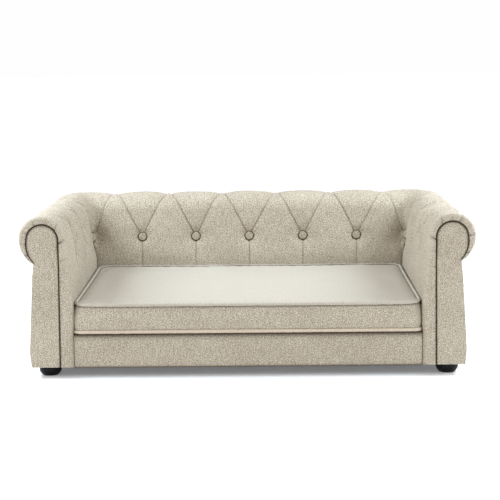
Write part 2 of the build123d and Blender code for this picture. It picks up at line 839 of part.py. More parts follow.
# Feet: turned, flat below, on threaded studs in inserts
with BuildPart() as foot:
    with BuildSketch(Plane.XZ):
        with BuildLine():
            Line((0, 0), (foot_sole_radius, 0))
            ThreePointArc(
                (foot_sole_radius, 0),
                (foot_radius, foot_belly_height),
                (foot_top_radius, dust_cover_height - fit_gap),
            )
            Line((foot_top_radius, dust_cover_height - fit_gap), (0, dust_cover_height - fit_gap))
            Line((0, dust_cover_height - fit_gap), (0, 0))
        make_face()
    revolve(axis=Axis.Z)
    with Locations((0, 0, stud_bottom_height - bore_gap)):
        Cylinder(
            stud_radius + bore_gap,
            foot_height + cut_overrun,
            align=(Align.CENTER, Align.CENTER, Align.MIN),
            mode=Mode.SUBTRACT,
        )

for feet_name, foot_place in zip(("front_feet", "rear_feet"), foot_places):
    with BuildPart() as feet:
        with Locations(foot_place):
            add(foot.part)
        mirror(about=Plane.YZ)
    save(feet.part, feet_name)

with BuildPart() as foot_studs:
    with Locations(*((foot_x, foot_y, stud_bottom_height) for foot_x, foot_y in foot_places)):
        Cylinder(stud_radius, stud_length, align=(Align.CENTER, Align.CENTER, Align.MIN))
    mirror(about=Plane.YZ)
save(foot_studs.part, "foot_studs")

with BuildPart() as foot_inserts:
    with BuildSketch(Plane.XY.offset(dust_cover_height)):
        with Locations(*foot_places):
            RegularPolygon(insert_flange_radius, insert_side_count)
    extrude(amount=dust_cover_thickness)
    with BuildSketch(Plane.XY.offset(rail_bottom_height)):
        with Locations(*foot_places):
            RegularPolygon(insert_radius, insert_side_count)
    extrude(amount=insert_length)
    with Locations(*foot_places):
        Cylinder(stud_radius + bore_gap, overall_height, mode=Mode.SUBTRACT)
    mirror(about=Plane.YZ)
save(foot_inserts.part, "foot_inserts")

# Seat cushion: outline, heights and crown
cushion_half_width = seat_half_width - cushion_side_gap
cushion_front_y = front_y + cushion_front_gap
cushion_back_y = seat_back_y - cushion_back_gap
cushion_mid_y = (cushion_front_y + cushion_back_y) / 2
cushion_depth = cushion_back_y - cushion_front_y
cushion_bottom = seat_floor_height + fit_gap
cushion_edge_top = cushion_bottom + cushion_edge_height
lower_piping_height = cushion_bottom + piping_radius
upper_piping_height = cushion_edge_top - piping_radius
cushion_mid_height = (lower_piping_height + upper_piping_height) / 2
foam_bottom = cushion_bottom + cloth_thickness + fit_gap


def cushion_outline(inset):
    """The cushion's rounded outline, drawn in by this inset."""
    with BuildSketch(Plane.XY) as outline:
        with Locations((0, cushion_mid_y)):
            RectangleRounded(
                2 * (cushion_half_width - inset),
                cushion_depth - 2 * inset,
                cushion_corner_radius - inset,
            )
    return outline.sketch


def cushion_slab(inset, bottom, top):
    with BuildPart() as layer:
        with BuildSketch(Plane.XY.offset(bottom)):
            add(cushion_outline(inset))
        extrude(amount=top - bottom)
    return layer.part


def crowned_block(drop):
    """A block over the whole cushion whose top is crowned, lowered by this drop."""
    edge_height = cushion_edge_top - drop
    with BuildPart() as block:
        for place_share, rise_share in crown_shares:
            with BuildSketch(Plane.YZ.offset(place_share * cushion_half_width)):
                with BuildLine():
                    Polyline(
                        (cushion_front_y, edge_height),
                        (cushion_front_y, foam_bottom),
                        (cushion_back_y, foam_bottom),
                        (cushion_back_y, edge_height),
                    )
                    ThreePointArc(
                        (cushion_back_y, edge_height),
                        (cushion_mid_y, edge_height + rise_share * cushion_crown),
                        (cushion_front_y, edge_height),
                    )
                make_face()
        loft()
    return block.part


cushion_ceiling = cushion_edge_top + cushion_crown + cut_overrun
with BuildPart() as cushion_top_panel:
    add(crowned_block(0))
    add(crowned_block(cloth_thickness), mode=Mode.SUBTRACT)
    add(cushion_slab(panel_inset, foam_bottom, cushion_ceiling), mode=Mode.INTERSECT)
save(cushion_top_panel.part, "cushion_top_panel")

with BuildPart() as cushion_foam:
    add(crowned_block(cloth_thickness + fit_gap))
    add(cushion_slab(foam_inset, foam_bottom, cushion_ceiling), mode=Mode.INTERSECT)
save(cushion_foam.part, "cushion_foam")

save(cushion_slab(panel_inset, cushion_bottom, cushion_bottom + cloth_thickness), "cushion_bottom_panel")

for piping_name, piping_height in (("top", upper_piping_height), ("bottom", lower_piping_height)):
    piping_path = cushion_outline(piping_radius).wire().moved(Location((0, 0, piping_height)))
    with BuildPart() as piping:
        with BuildSketch(Plane(origin=piping_path @ 0, z_dir=piping_path % 0)):
            RegularPolygon(piping_radius, piping_side_count)
        sweep(path=piping_path)
    save(piping.part, f"cushion_{piping_name}_piping")

# The band round the cushion's sides, drawn in at mid height, with a slot for the zip
band_half_height = (upper_piping_height - lower_piping_height) / 2 - piping_radius - fit_gap
band_waist = band_inset + band_draw_in
zip_slot_half = zip_tape_height / 2 + fit_gap
band_path = cushion_outline(band_inset).wire().moved(Location((0, 0, cushion_mid_height)))
band_section_plane = Plane(
    origin=band_path @ 0,
    x_dir=Vector(0, 0, 1).cross(band_path % 0),
    z_dir=band_path % 0,
)
with BuildPart() as cushion_boxing:
    with BuildSketch(band_section_plane):
        with BuildLine():
            ThreePointArc((0, -band_half_height), (band_draw_in, 0), (0, band_half_height))
            Line((0, band_half_height), (cloth_thickness, band_half_height))
            ThreePointArc(
                (cloth_thickness, band_half_height),
                (band_draw_in + cloth_thickness, 0),
                (cloth_thickness, -band_half_height),
            )
            Line((cloth_thickness, -band_half_height), (0, -band_half_height))
        make_face()
    sweep(path=band_path)
    slab(
        (-zip_length / 2 - fit_gap, zip_length / 2 + fit_gap),
        (cushion_back_y - cut_overrun, cushion_back_y),
        (cushion_mid_height - zip_slot_half, cushion_mid_height + zip_slot_half),
        mode=Mode.SUBTRACT,
    )
save(cushion_boxing.part, "cushion_boxing")

# Zip: tape, coil and end stops in the rear of the band
band_face_y = cushion_back_y - band_waist
tape_y = (band_face_y - bore_gap - zip_tape_thickness, band_face_y - bore_gap)
coil_y = (tape_y[1], tape_y[1] + zip_coil_thickness)
stop_y = (tape_y[1], tape_y[1] + zip_stop_thickness)
coil_reach = zip_length / 2 - zip_end_margin


def about_mid_height(height):
    return (cushion_mid_height - height / 2, cushion_mid_height + height / 2)


with BuildPart() as cushion_zip:
    slab((-zip_length / 2, zip_length / 2), tape_y, about_mid_height(zip_tape_height))
    slab((-coil_reach, coil_reach), coil_y, about_mid_height(zip_coil_height))
    for side in (-1, 1):
        stop_x = sorted((side * coil_reach, side * (coil_reach + zip_stop_length)))
        slab(stop_x, stop_y, about_mid_height(zip_stop_height))
save(cushion_zip.part, "cushion_zip")

# The slider rides over the coil; its pull hangs from a headed pin
slider_x = (coil_reach - slide_gap - zip_slider_length, coil_reach - slide_gap)
slider_y = (tape_y[1] + slide_gap, tape_y[1] + slide_gap + zip_slider_thickness)
slider_mid_x = (slider_x[0] + slider_x[1]) / 2
pull_y = (slider_y[1] + slide_gap, slider_y[1] + slide_gap + zip_pull_thickness)
pin_end_y = pull_y[1] + slide_gap
with BuildPart() as zip_slider:
    slab(slider_x, slider_y, about_mid_height(zip_slider_height))
    slab(
        (slider_x[0] - cut_overrun, slider_x[1] + cut_overrun),
        (slider_y[0] - cut_overrun, coil_y[1] + slide_gap),
        about_mid_height(zip_coil_height + 2 * slide_gap),
        mode=Mode.SUBTRACT,
    )
    with Locations(Plane(origin=(slider_mid_x, slider_y[1], cushion_mid_height), z_dir=(0, 1, 0))):
        Cylinder(
            zip_pin_radius,
            pin_end_y - slider_y[1],
            align=(Align.CENTER, Align.CENTER, Align.MIN),
        )
    with Locations(Plane(origin=(slider_mid_x, pin_end_y, cushion_mid_height), z_dir=(0, 1, 0))):
        Cylinder(
            zip_pin_head_radius,
            zip_pin_head_thickness,
            align=(Align.CENTER, Align.CENTER, Align.MIN),
        )
save(zip_slider.part, "zip_slider")

with BuildPart() as zip_pull:
    pull_plane = Plane(
        origin=(slider_mid_x, pull_y[1], cushion_mid_height),
        x_dir=(1, 0, 0),
        z_dir=(0, -1, 0),
    )
    with BuildSketch(pull_plane):
        with Locations((0, zip_pull_width / 2)):
            SlotOverall(zip_pull_length, zip_pull_width, rotation=90, align=(Align.CENTER, Align.MAX))
        Circle(zip_pull_hole_radius, mode=Mode.SUBTRACT)
    extrude(amount=zip_pull_thickness)
save(zip_pull.part, "zip_pull")
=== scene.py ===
# A small buttoned sofa for a pet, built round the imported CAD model. Metres, in the CAD's frame.
# Sizes inside the script are in millimetres and are turned into metres where a mesh is made.
import cmath
import json
import math

import bmesh
import bpy
import numpy as np
from mathutils import Matrix, Vector
from mathutils.geometry import delaunay_2d_cdt

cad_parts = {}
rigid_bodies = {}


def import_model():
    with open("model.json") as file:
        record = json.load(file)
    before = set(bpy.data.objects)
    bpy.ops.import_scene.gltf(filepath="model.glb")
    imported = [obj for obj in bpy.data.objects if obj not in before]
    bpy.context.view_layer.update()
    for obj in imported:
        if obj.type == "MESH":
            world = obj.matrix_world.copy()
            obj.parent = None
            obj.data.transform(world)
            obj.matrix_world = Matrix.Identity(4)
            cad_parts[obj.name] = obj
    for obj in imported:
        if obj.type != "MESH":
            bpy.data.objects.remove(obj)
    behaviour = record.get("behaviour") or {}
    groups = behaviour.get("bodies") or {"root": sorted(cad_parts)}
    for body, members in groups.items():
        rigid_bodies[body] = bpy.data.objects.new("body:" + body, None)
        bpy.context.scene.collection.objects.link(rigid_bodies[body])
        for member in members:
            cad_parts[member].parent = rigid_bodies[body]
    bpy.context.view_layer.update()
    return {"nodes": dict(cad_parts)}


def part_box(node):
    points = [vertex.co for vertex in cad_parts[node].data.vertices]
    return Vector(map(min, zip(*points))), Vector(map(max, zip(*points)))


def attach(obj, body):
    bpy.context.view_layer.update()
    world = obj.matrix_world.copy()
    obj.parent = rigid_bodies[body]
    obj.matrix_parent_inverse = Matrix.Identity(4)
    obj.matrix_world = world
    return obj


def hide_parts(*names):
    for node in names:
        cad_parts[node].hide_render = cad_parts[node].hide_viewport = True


for old in list(bpy.data.objects):
    bpy.data.objects.remove(old)
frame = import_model()
nodes = frame["nodes"]
scene = bpy.context.scene
MM = 0.001

# Sizes of the wall, as in the CAD
SEAT_X, SEAT_Y = 386.0, 186.0
FLOOR_Z, FOOT_Z = 97.3, 25.2
LEAN_Z = 165.0
ROLL_W, ROLL_Z, ROLL_R = 65.0, 311.0, 49.0
WALL = 114.0
NECK_W, NECK_Z = 81.0, 255.0
OUTER_FOOT_W, HEM_BASE_Z = 93.5, 25.0
BUTTON_Z, BUTTON_SINK, DIMPLE_W = 250.0, 13.0, 22.15
RIM_Y, BOARD_Y, FRONT_Y = -297.0, -290.0, -300.0
BOARD_BACK_Y = -275.0
HEAD_W, HEAD_Z, HEAD_R = 62.0, 309.0, 35.0
STILE_W = 30.0
SHOULDER, FACING_NECK = (93.0, 277.0), (80.5, 259.0)
BACK_BUTTONS = [-272.0, -136.0, 0.0, 136.0, 272.0]
BACK_VALLEYS = [-340.0, -204.0, -68.0, 68.0, 204.0, 340.0]
ARM_BUTTONS = [-112.7, 36.7]
ARM_VALLEYS = [-187.3, -38.0, 111.3]

# What the cloth adds to them: how far the outer sides puff out, and the radius of a button's well
SIDE_PUFF, WELL_R = 3.2, 11.5


# Node trees


class Tree:
    """A short way to write a node tree."""

    def __init__(self, name):
        self.material = bpy.data.materials.new(name)
        self.material.use_nodes = True
        self.tree = self.material.node_tree
        self.tree.nodes.clear()

    def node(self, kind, inputs=None, **settings):
        made = self.tree.nodes.new("ShaderNode" + kind)
        for key, value in settings.items():
            setattr(made, key, value)
        for key, value in (inputs or {}).items():
            if isinstance(value, bpy.types.NodeSocket):
                self.tree.links.new(value, made.inputs[key])
            else:
                made.inputs[key].default_value = value
        return made

    def math(self, operation, a, b=0.5):
        return self.node("Math", {0: a, 1: b}, operation=operation).outputs[0]

    def blend(self, *shares):
        """The sum of values, each times its share."""
        parts = [self.math("MULTIPLY", value, share) for value, share in shares]
        total = parts[0]
        for part in parts[1:]:
            total = self.math("ADD", total, part)
        return total

    def scaled(self, place, scale):
        return self.node("Mapping", {"Vector": place, "Scale": scale}).outputs[0]

    def noise(self, place, scale, detail=2.0, roughness=0.5):
        inputs = {"Vector": place, "Scale": scale, "Detail": detail, "Roughness": roughness}
        return self.node("TexNoise", inputs).outputs["Fac"]

    def bands(self, place, axis):
        inputs = {"Vector": place, "Scale": 1.0}
        return self.node("TexWave", inputs, bands_direction=axis).outputs["Fac"]

    def ramp(self, value, stops):
        made = self.node("ValToRGB", {"Fac": value})
        ramp = made.color_ramp
        for index, (place, colour) in enumerate(stops):
            stop = ramp.elements[index] if index < 2 else ramp.elements.new(place)
            stop.position = place
            stop.color = (*colour, 1.0)
        return made.outputs["Color"]

    def bump(self, height, strength, distance):
        return self.node("Bump", {"Height": height, "Strength": strength, "Distance": distance}).outputs[0]

    def finish(self, **inputs):
        named = {key.replace("_", " "): value for key, value in inputs.items()}
        shader = self.node("BsdfPrincipled", named)
        self.node("OutputMaterial", {"Surface": shader.outputs[0]})
        return self.material


def woven(name, dark, light, contrast=1.0, turned=0.0, relief=0.5):
    """Plain weave: thick and thin threads both ways, slubs, and a slow change of tone. The mesh's
    painted shade value mixes in a near-black brown: painted shade in seams, creases, button wells and gaps."""
    t = Tree(name)
    uv = t.node("UVMap", uv_map="weave").outputs[0]
    if turned:
        uv = t.node("Mapping", {"Vector": uv, "Rotation": (0, 0, turned)}).outputs[0]
    weft = t.noise(t.scaled(uv, (260, 620, 1)), 1.0, 1.0, 0.6)
    warp = t.noise(t.scaled(uv, (660, 240, 1)), 1.0, 1.0, 0.6)
    slub = t.noise(t.scaled(uv, (330, 45, 1)), 1.0, 1.0)
    grain = t.noise(uv, 560.0, 1.0, 0.6)
    cloud = t.noise(uv, 9.0, 2.0)
    threads = t.blend((weft, 0.36), (warp, 0.64))
    mixed = t.blend((threads, 0.4), (grain, 0.45), (slub, 0.1), (cloud, 0.05))
    spread = 0.046 / contrast
    colour = t.ramp(mixed, [(0.5 - spread, dark), (0.5 + spread, light)])
    # Painted shade: the mesh's value darkens the weave towards a near-black brown
    painted_shade = t.node("Attribute", attribute_name="painted_shade").outputs["Fac"]
    shaded = t.node("Mix", {0: painted_shade, 6: colour, 7: PAINTED_SHADE_COLOUR}, data_type="RGBA").outputs[2]
    over = t.bands(t.scaled(uv, (150, 0, 0)), "X")
    under = t.bands(t.scaled(uv, (0, 150, 0)), "Y")
    height = t.blend((mixed, 1.6), (t.math("MULTIPLY", over, under), 0.3))
    return t.finish(
        Base_Color=shaded,
        Roughness=0.92,
        Normal=t.bump(height, relief, 0.0022),
        Sheen_Weight=0.04,
        Sheen_Roughness=0.55,
        Sheen_Tint=(1.0, 0.98, 0.96, 1.0),
        Specular_IOR_Level=0.04,
    )


def timber(name, dark, light, axis):
    """Planed softwood: long grain lines, rings and a few pores."""
    t = Tree(name)
    place = t.node("TexCoord").outputs["Object"]
    stretch = [26.0, 26.0, 26.0]
    stretch[axis] = 1.6
    grain = t.noise(t.scaled(place, stretch), 1.0, 4.0, 0.6)
    rings = t.noise(t.scaled(place, [value * 5 for value in stretch]), 1.0, 2.0)
    pores = t.noise(t.scaled(place, [value * 30 for value in stretch]), 1.0, 1.0)
    mixed = t.blend((grain, 0.6), (rings, 0.4))
    colour = t.ramp(mixed, [(0.38, dark), (0.62, light)])
    rough = t.node("MapRange", {"Value": rings, "To Min": 0.5, "To Max": 0.75}).outputs[0]
    return t.finish(Base_Color=colour, Roughness=rough, Normal=t.bump(pores, 0.25, 0.0006))


def speckled(name, dark, light, scale, rough, relief=0.2, metal=0.0, shine=0.5):
    """A plain solid stuff with small unevenness: foam, board, lacquer, plated steel."""
    t = Tree(name)
    place = t.node("TexCoord").outputs["Object"]
    grain = t.noise(place, scale, 3.0, 0.6)
    cloud = t.noise(place, scale / 12, 2.0)
    mixed = t.blend((grain, 0.6), (cloud, 0.4))
    colour = t.ramp(mixed, [(0.35, dark), (0.65, light)])
    dull = t.node("MapRange", {"Value": cloud, "To Min": rough * 0.85, "To Max": min(1.0, rough * 1.15)})
    return t.finish(
        Base_Color=colour,
        Roughness=dull.outputs[0],
        Normal=t.bump(grain, relief, 0.0005),
        Metallic=metal,
        Specular_IOR_Level=shine,
    )


# A near-black brown for all the painted shade: seams, creases, button wells and rims, cords and the rail
PAINTED_SHADE_COLOUR = (0.024, 0.009, 0.001, 1.0)
LINEN_DARK, LINEN_LIGHT = (0.235, 0.192, 0.134), (0.535, 0.475, 0.376)
linen = woven("linen_weave", LINEN_DARK, LINEN_LIGHT)
piping_cloth = woven("piping_weave", (0.36, 0.32, 0.25), (0.52, 0.475, 0.395), contrast=0.7, turned=0.78)
warm_piping_cloth = woven(
    "piping_weave_warm", (0.44, 0.36, 0.26), (0.64, 0.54, 0.42), contrast=0.7, turned=0.78,
)
# A paler, less saturated copy of the linen for the cushion's top: painted light, as the top faces the light
# from above
painted_light_linen = woven("linen_weave_painted_light", (0.385, 0.348, 0.276), (0.475, 0.438, 0.362), contrast=0.6)
lining_cloth = woven("lining_weave", (0.42, 0.38, 0.31), (0.6, 0.56, 0.48), relief=0.35)
dust_cloth = woven("dust_weave", (0.012, 0.012, 0.013), (0.04, 0.04, 0.042), relief=0.4)
zip_cloth = woven("zip_weave", (0.4, 0.36, 0.28), (0.58, 0.53, 0.44))
foam_stuff = speckled("foam_cells", (0.7, 0.66, 0.52), (0.88, 0.86, 0.76), 500.0, 0.95, 0.6)
board_stuff = speckled("fibre_board", (0.3, 0.22, 0.14), (0.48, 0.37, 0.25), 300.0, 0.85, 0.3)
twine_stuff = speckled("waxed_twine", (0.5, 0.44, 0.32), (0.72, 0.65, 0.5), 700.0, 0.6, 0.5)
black_lacquer = speckled(
    "black_lacquer", (0.004, 0.004, 0.004), (0.009, 0.0085, 0.008), 160.0, 0.42, 0.1, shine=0.12,
)
plated_steel = speckled(
    "plated_steel", (0.42, 0.43, 0.44), (0.62, 0.63, 0.64), 260.0, 0.35, 0.12, metal=1.0,
)
zip_lacquer = speckled("zip_lacquer", (0.36, 0.32, 0.25), (0.5, 0.45, 0.37), 400.0, 0.45, 0.1)
TIMBER_DARK, TIMBER_LIGHT = (0.42, 0.27, 0.14), (0.68, 0.5, 0.31)
PLY_DARK, PLY_LIGHT = (0.5, 0.37, 0.23), (0.74, 0.6, 0.42)
timber_along, ply_along = [
    [timber(f"{stuff}_{letter}", dark, light, axis) for axis, letter in enumerate("xyz")]
    for stuff, dark, light in (("timber", TIMBER_DARK, TIMBER_LIGHT), ("ply", PLY_DARK, PLY_LIGHT))
]


# Mesh helpers


def ripples(seed, wavelength, count=14):
    """A smooth, seeded unevenness of about unit height over a surface, from crossed waves."""
    rng = np.random.default_rng(seed)
    angle = rng.uniform(0, math.tau, count)
    pace = math.tau / (wavelength * rng.uniform(0.7, 1.5, count))
    phase = rng.uniform(0, math.tau, count)

    def at(a, b):
        total = 0.0
        for k in range(count):
            total = total + np.sin(pace[k] * (a * math.cos(angle[k]) + b * math.sin(angle[k])) + phase[k])
        return total / math.sqrt(count)

    return at


def smooth(value, low, high):
    share = np.clip((value - low) / (high - low), 0, 1)
    return share * share * (3 - 2 * share)


def bell(value, width):
    return np.exp(-((value / width) ** 2))


def lengths(line):
    """The distance along a line of points to each of them."""
    return np.concatenate([[0], np.cumsum(np.linalg.norm(np.diff(line, axis=0), axis=1))])


def resample(line, step, whole=round):
    """Evenly spaced points on a closed line, in as many whole steps as go round it."""
    closed = np.vstack([line, line[:1]])
    length = lengths(closed)
    at = np.linspace(0, length[-1], int(whole(length[-1] / step)), endpoint=False)
    return np.stack([np.interp(at, length, values) for values in closed.T], 1)


def rectangle(low, high):
    """The corners between two opposite ones, anticlockwise."""
    return np.array([[low[0], low[1]], [high[0], low[1]], [high[0], high[1]], [low[0], high[1]]])


def node_box(node):
    """The lowest and highest corner of a CAD node, in millimetres."""
    return [np.array(corner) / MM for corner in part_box(node)]


def make_piece(name, verts, faces, uvs, material, body="frame", replaced=(), weld=0.0, painted_shade=None):
    """A mesh in metres from points in millimetres, with a weave map, riding on a body."""
    mesh = bpy.data.meshes.new(name)
    mesh.from_pydata((np.asarray(verts, float) * MM).tolist(), [], [list(map(int, face)) for face in faces])
    layer = mesh.uv_layers.new(name="weave")
    corner = np.empty(len(mesh.loops), np.int32)
    mesh.loops.foreach_get("vertex_index", corner)
    layer.data.foreach_set("uv", (np.asarray(uvs, float)[corner] * MM).ravel())
    if painted_shade is not None:
        dark = mesh.attributes.new("painted_shade", "FLOAT", "POINT")
        dark.data.foreach_set("value", np.clip(np.asarray(painted_shade, np.float32).ravel(), 0, 1))
    mesh.shade_smooth()
    piece = bpy.data.objects.new(name, mesh)
    scene.collection.objects.link(piece)
    piece.data.materials.append(material)
    if weld:
        tidy(piece, weld)
    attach(piece, body)
    if replaced:
        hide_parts(*replaced)
    return piece


def tidy(piece, distance):
    """Joins points that lie together and drops the faces that this leaves without area."""
    work = bmesh.new()
    work.from_mesh(piece.data)
    bmesh.ops.remove_doubles(work, verts=work.verts, dist=distance * MM)
    bmesh.ops.dissolve_degenerate(work, edges=work.edges, dist=distance * MM * 0.1)
    bmesh.ops.recalc_face_normals(work, faces=work.faces)
    work.to_mesh(piece.data)
    work.free()
    piece.data.shade_smooth()


def thicken(piece, thickness, finer=0):
    """Subdivides a sheet, gives it a thickness inwards, and keeps the shape as its own mesh."""
    if finer:
        divided = piece.modifiers.new("finer", "SUBSURF")
        divided.levels = divided.render_levels = finer
    thick = piece.modifiers.new("thickness", "SOLIDIFY")
    thick.thickness = thickness * MM
    thick.offset = -1.0
    shown = piece.evaluated_get(bpy.context.evaluated_depsgraph_get())
    mesh = bpy.data.meshes.new_from_object(shown)
    piece.modifiers.clear()
    piece.data = mesh
    mesh.shade_smooth()


def grid_faces(rows, columns, keep=None, loop=False, ring=False):
    """Four-sided faces between neighbouring rows and columns of points. The columns close on
    themselves in a loop, and the rows in a ring."""
    index = np.arange(rows * columns).reshape(rows, columns)
    if ring:
        index = np.vstack([index, index[:1]])
    if loop:
        index = np.hstack([index, index[:, :1]])
    quads = np.stack([index[:-1, :-1], index[:-1, 1:], index[1:, 1:], index[1:, :-1]], axis=-1)
    if keep is not None:
        quads = quads[keep]
    return quads.reshape(-1, 4)


# The wall's outline from the seat floor, up the seat side, over the roll and under it to the neck


LEAN = math.atan2(ROLL_Z - LEAN_Z, ROLL_W) + math.asin(ROLL_R / math.hypot(ROLL_W, ROLL_Z - LEAN_Z))
# Distances along the outline from the seat floor: the buttons, the folds' meeting, the neck
BUTTON_H = LEAN_Z - FLOOR_Z + (BUTTON_Z - LEAN_Z) / math.sin(LEAN)
FOLD_H = BUTTON_H + 112.0
NECK_H = 440.0


def wall_outline(foot, step):
    tuck = ((WALL - NECK_W) ** 2 + (ROLL_Z - NECK_Z) ** 2) / (2 * (WALL - NECK_W))
    tuck_angle = math.asin((ROLL_Z - NECK_Z) / tuck)
    turn = np.linspace(LEAN + math.pi / 2, 0, 400)
    under = np.linspace(0, -tuck_angle, 200)[1:]
    points = [
        np.array([[0, foot], [0, LEAN_Z]]),
        np.stack([ROLL_W + ROLL_R * np.cos(turn), ROLL_Z + ROLL_R * np.sin(turn)], 1),
        np.stack([WALL - tuck + tuck * np.cos(under), ROLL_Z + tuck * np.sin(under)], 1),
    ]
    line = np.vstack(points)
    length = lengths(line)
    at = np.linspace(0, length[-1], int(round(length[-1] / step)) + 1)
    even = np.stack([np.interp(at, length, line[:, k]) for k in (0, 1)], 1)
    if foot < FLOOR_Z:
        full = smooth(even[:, 1], 100.0, 118.0) * (1 - smooth(even[:, 1], 150.0, 175.0))
        even[:, 0] -= 2.2 * full * (even[:, 0] < 1)
    blur = np.gradient(even, axis=0)
    for _ in range(3):
        blur[1:-1] = (blur[:-2] + blur[1:-1] + blur[2:]) / 3
    blur /= np.linalg.norm(blur, axis=1)[:, None]
    normal = np.stack([-blur[:, 1], blur[:, 0]], 1)
    return even, normal, at + foot - FLOOR_Z


class Fold:
    """A crease from one place on the wall to another. A place is how far along the wall it is:
    a fixed part, and a part that grows with the distance from the corner's axis."""

    def __init__(self, start, end, low, high, depths, reach, groove, tones, bow=0.0, lip=0.0, wide=1.0):
        self.start, self.end, self.low, self.high = start, end, low, high
        self.depths, self.reach, self.groove, self.tones = depths, reach, groove, tones
        self.bow, self.lip, self.wide = bow, lip, wide

    def apply(self, along, height, radius):
        """The soft hollow beside the crease, its narrow groove, and the painted shade in it."""
        share = np.clip((height - self.low) / (self.high - self.low), 0, 1)[:, None]
        fixed = self.start[0] + (self.end[0] - self.start[0]) * share
        turning = self.start[1] + (self.end[1] - self.start[1]) * share
        centre = fixed + turning * radius[:, None] + self.bow * np.sin(math.pi * share)
        slope = (self.end[0] - self.start[0]) / (self.high - self.low)
        across = (along - centre) / math.hypot(1, slope)
        past = np.maximum(np.maximum(self.low - height, height - self.high), 0)[:, None]
        away = np.sqrt(across**2 + past**2 + 4.0) - 2.0
        depth = self.depths[0] + (self.depths[1] - self.depths[0]) * share
        tone = self.tones[0] + (self.tones[1] - self.tones[0]) * share
        wide = depth * np.exp(-away / self.reach)
        fade = bell(past, 4.0)
        scaled = across / self.wide
        narrow = self.groove * bell(scaled, 1.8) * fade
        lip = self.lip * bell(scaled - 3.6, 2.6) * fade
        return wide, narrow - lip, tone * bell(scaled, 1.3) * fade


def wall_folds(seed, side):
    """The buttons and folds of one half of the wall, from its middle to the front of the arm."""
    rng = np.random.default_rng(seed)
    quarter = math.pi / 2

    def on_arm(y):
        return side * (SEAT_X + SEAT_Y - y), side * quarter

    buttons = [(side * x, 0.0) for x in BACK_BUTTONS if x > 0]
    buttons.append((side * SEAT_X, side * quarter / 2))
    buttons += [on_arm(y) for y in sorted(ARM_BUTTONS, reverse=True)]
    valleys = [(side * x, 0.0) for x in BACK_VALLEYS if x > 0]
    valleys += [on_arm(y) for y in sorted(ARM_VALLEYS, reverse=True)]
    pairs = [(button, valleys[k], -side) for k, button in enumerate(buttons)]
    pairs += [(button, valleys[k + 1], side) for k, button in enumerate(buttons)]
    if side > 0:
        buttons.append((0.0, 0.0))
        pairs += [((0.0, 0.0), valleys[0], 1), ((0.0, 0.0), (-valleys[0][0], 0.0), -1)]
    folds = []
    for button, valley, away in pairs:
        arm = abs(valley[1]) > 1
        more = 2.2 if arm else 1.0
        end = (valley[0] - away * rng.uniform(8.0, 12.0), valley[1])
        bow = rng.uniform(-1.5, 1.5)
        # near and top: how dark the painted shade in a crease is, at the button and at its top end
        top = rng.uniform(0.4, 0.5) if away < 0 else rng.uniform(0.2, 0.4)
        near = rng.uniform(0.6, 0.75) if away < 0 else rng.uniform(0.45, 0.6)
        near, top = (near + 0.3, top + 0.3) if arm else (near, top)
        if 0 < abs(button[1]) < 1:
            near, top = near * 0.5, top * 0.3
        soft = (4.0 * more, 3.4 * more)
        wide, groove = (2.2, 3.4) if arm else (1.0, 1.3)
        folds.append(Fold(button, end, BUTTON_H, FOLD_H, soft, 15.0, groove, (near, top), bow, 0.5, wide))
        soft = (3.6 * more, 9.0)
        tones = (top * 0.6, 0.25 if arm else 0.0)
        crest = FOLD_H + 55.0
        folds.append(Fold(end, valley, FOLD_H, crest, soft, 21.0, groove * 0.5, tones, 0.0, 0.3, wide))
        soft = (9.0, 2.0)
        tones = (0.25 if arm else 0.0, 0.1)
        folds.append(Fold(valley, valley, crest, NECK_H, soft, 21.0, groove * 0.4, tones, wide=wide))
        if arm:
            place = (valley[0] - away * rng.uniform(28.0, 44.0), valley[1])
            soft = (2.0, rng.uniform(3.5, 5.5))
            low, high = FOLD_H - 70.0, FOLD_H + 80.0
            folds.append(Fold(place, place, low, high, soft, 10.0, 2.4, (0.25, 0.3), wide=2.2))
    # A pleat runs down from each button to the seat, with painted shade along it
    for button in buttons:
        drop = rng.uniform(-1.5, 1.5)
        tones = (rng.uniform(0.15, 0.3), rng.uniform(0.4, 0.55))
        depths = (1.0, 3.2)
        if 0 < abs(button[1]) < 1:
            tones, depths = (0.5, 0.9), (2.5, 6.5)
        folds.append(Fold(button, button, 0.0, BUTTON_H, depths, 9.0, 1.2, tones, drop, 0.5))
    return buttons, folds


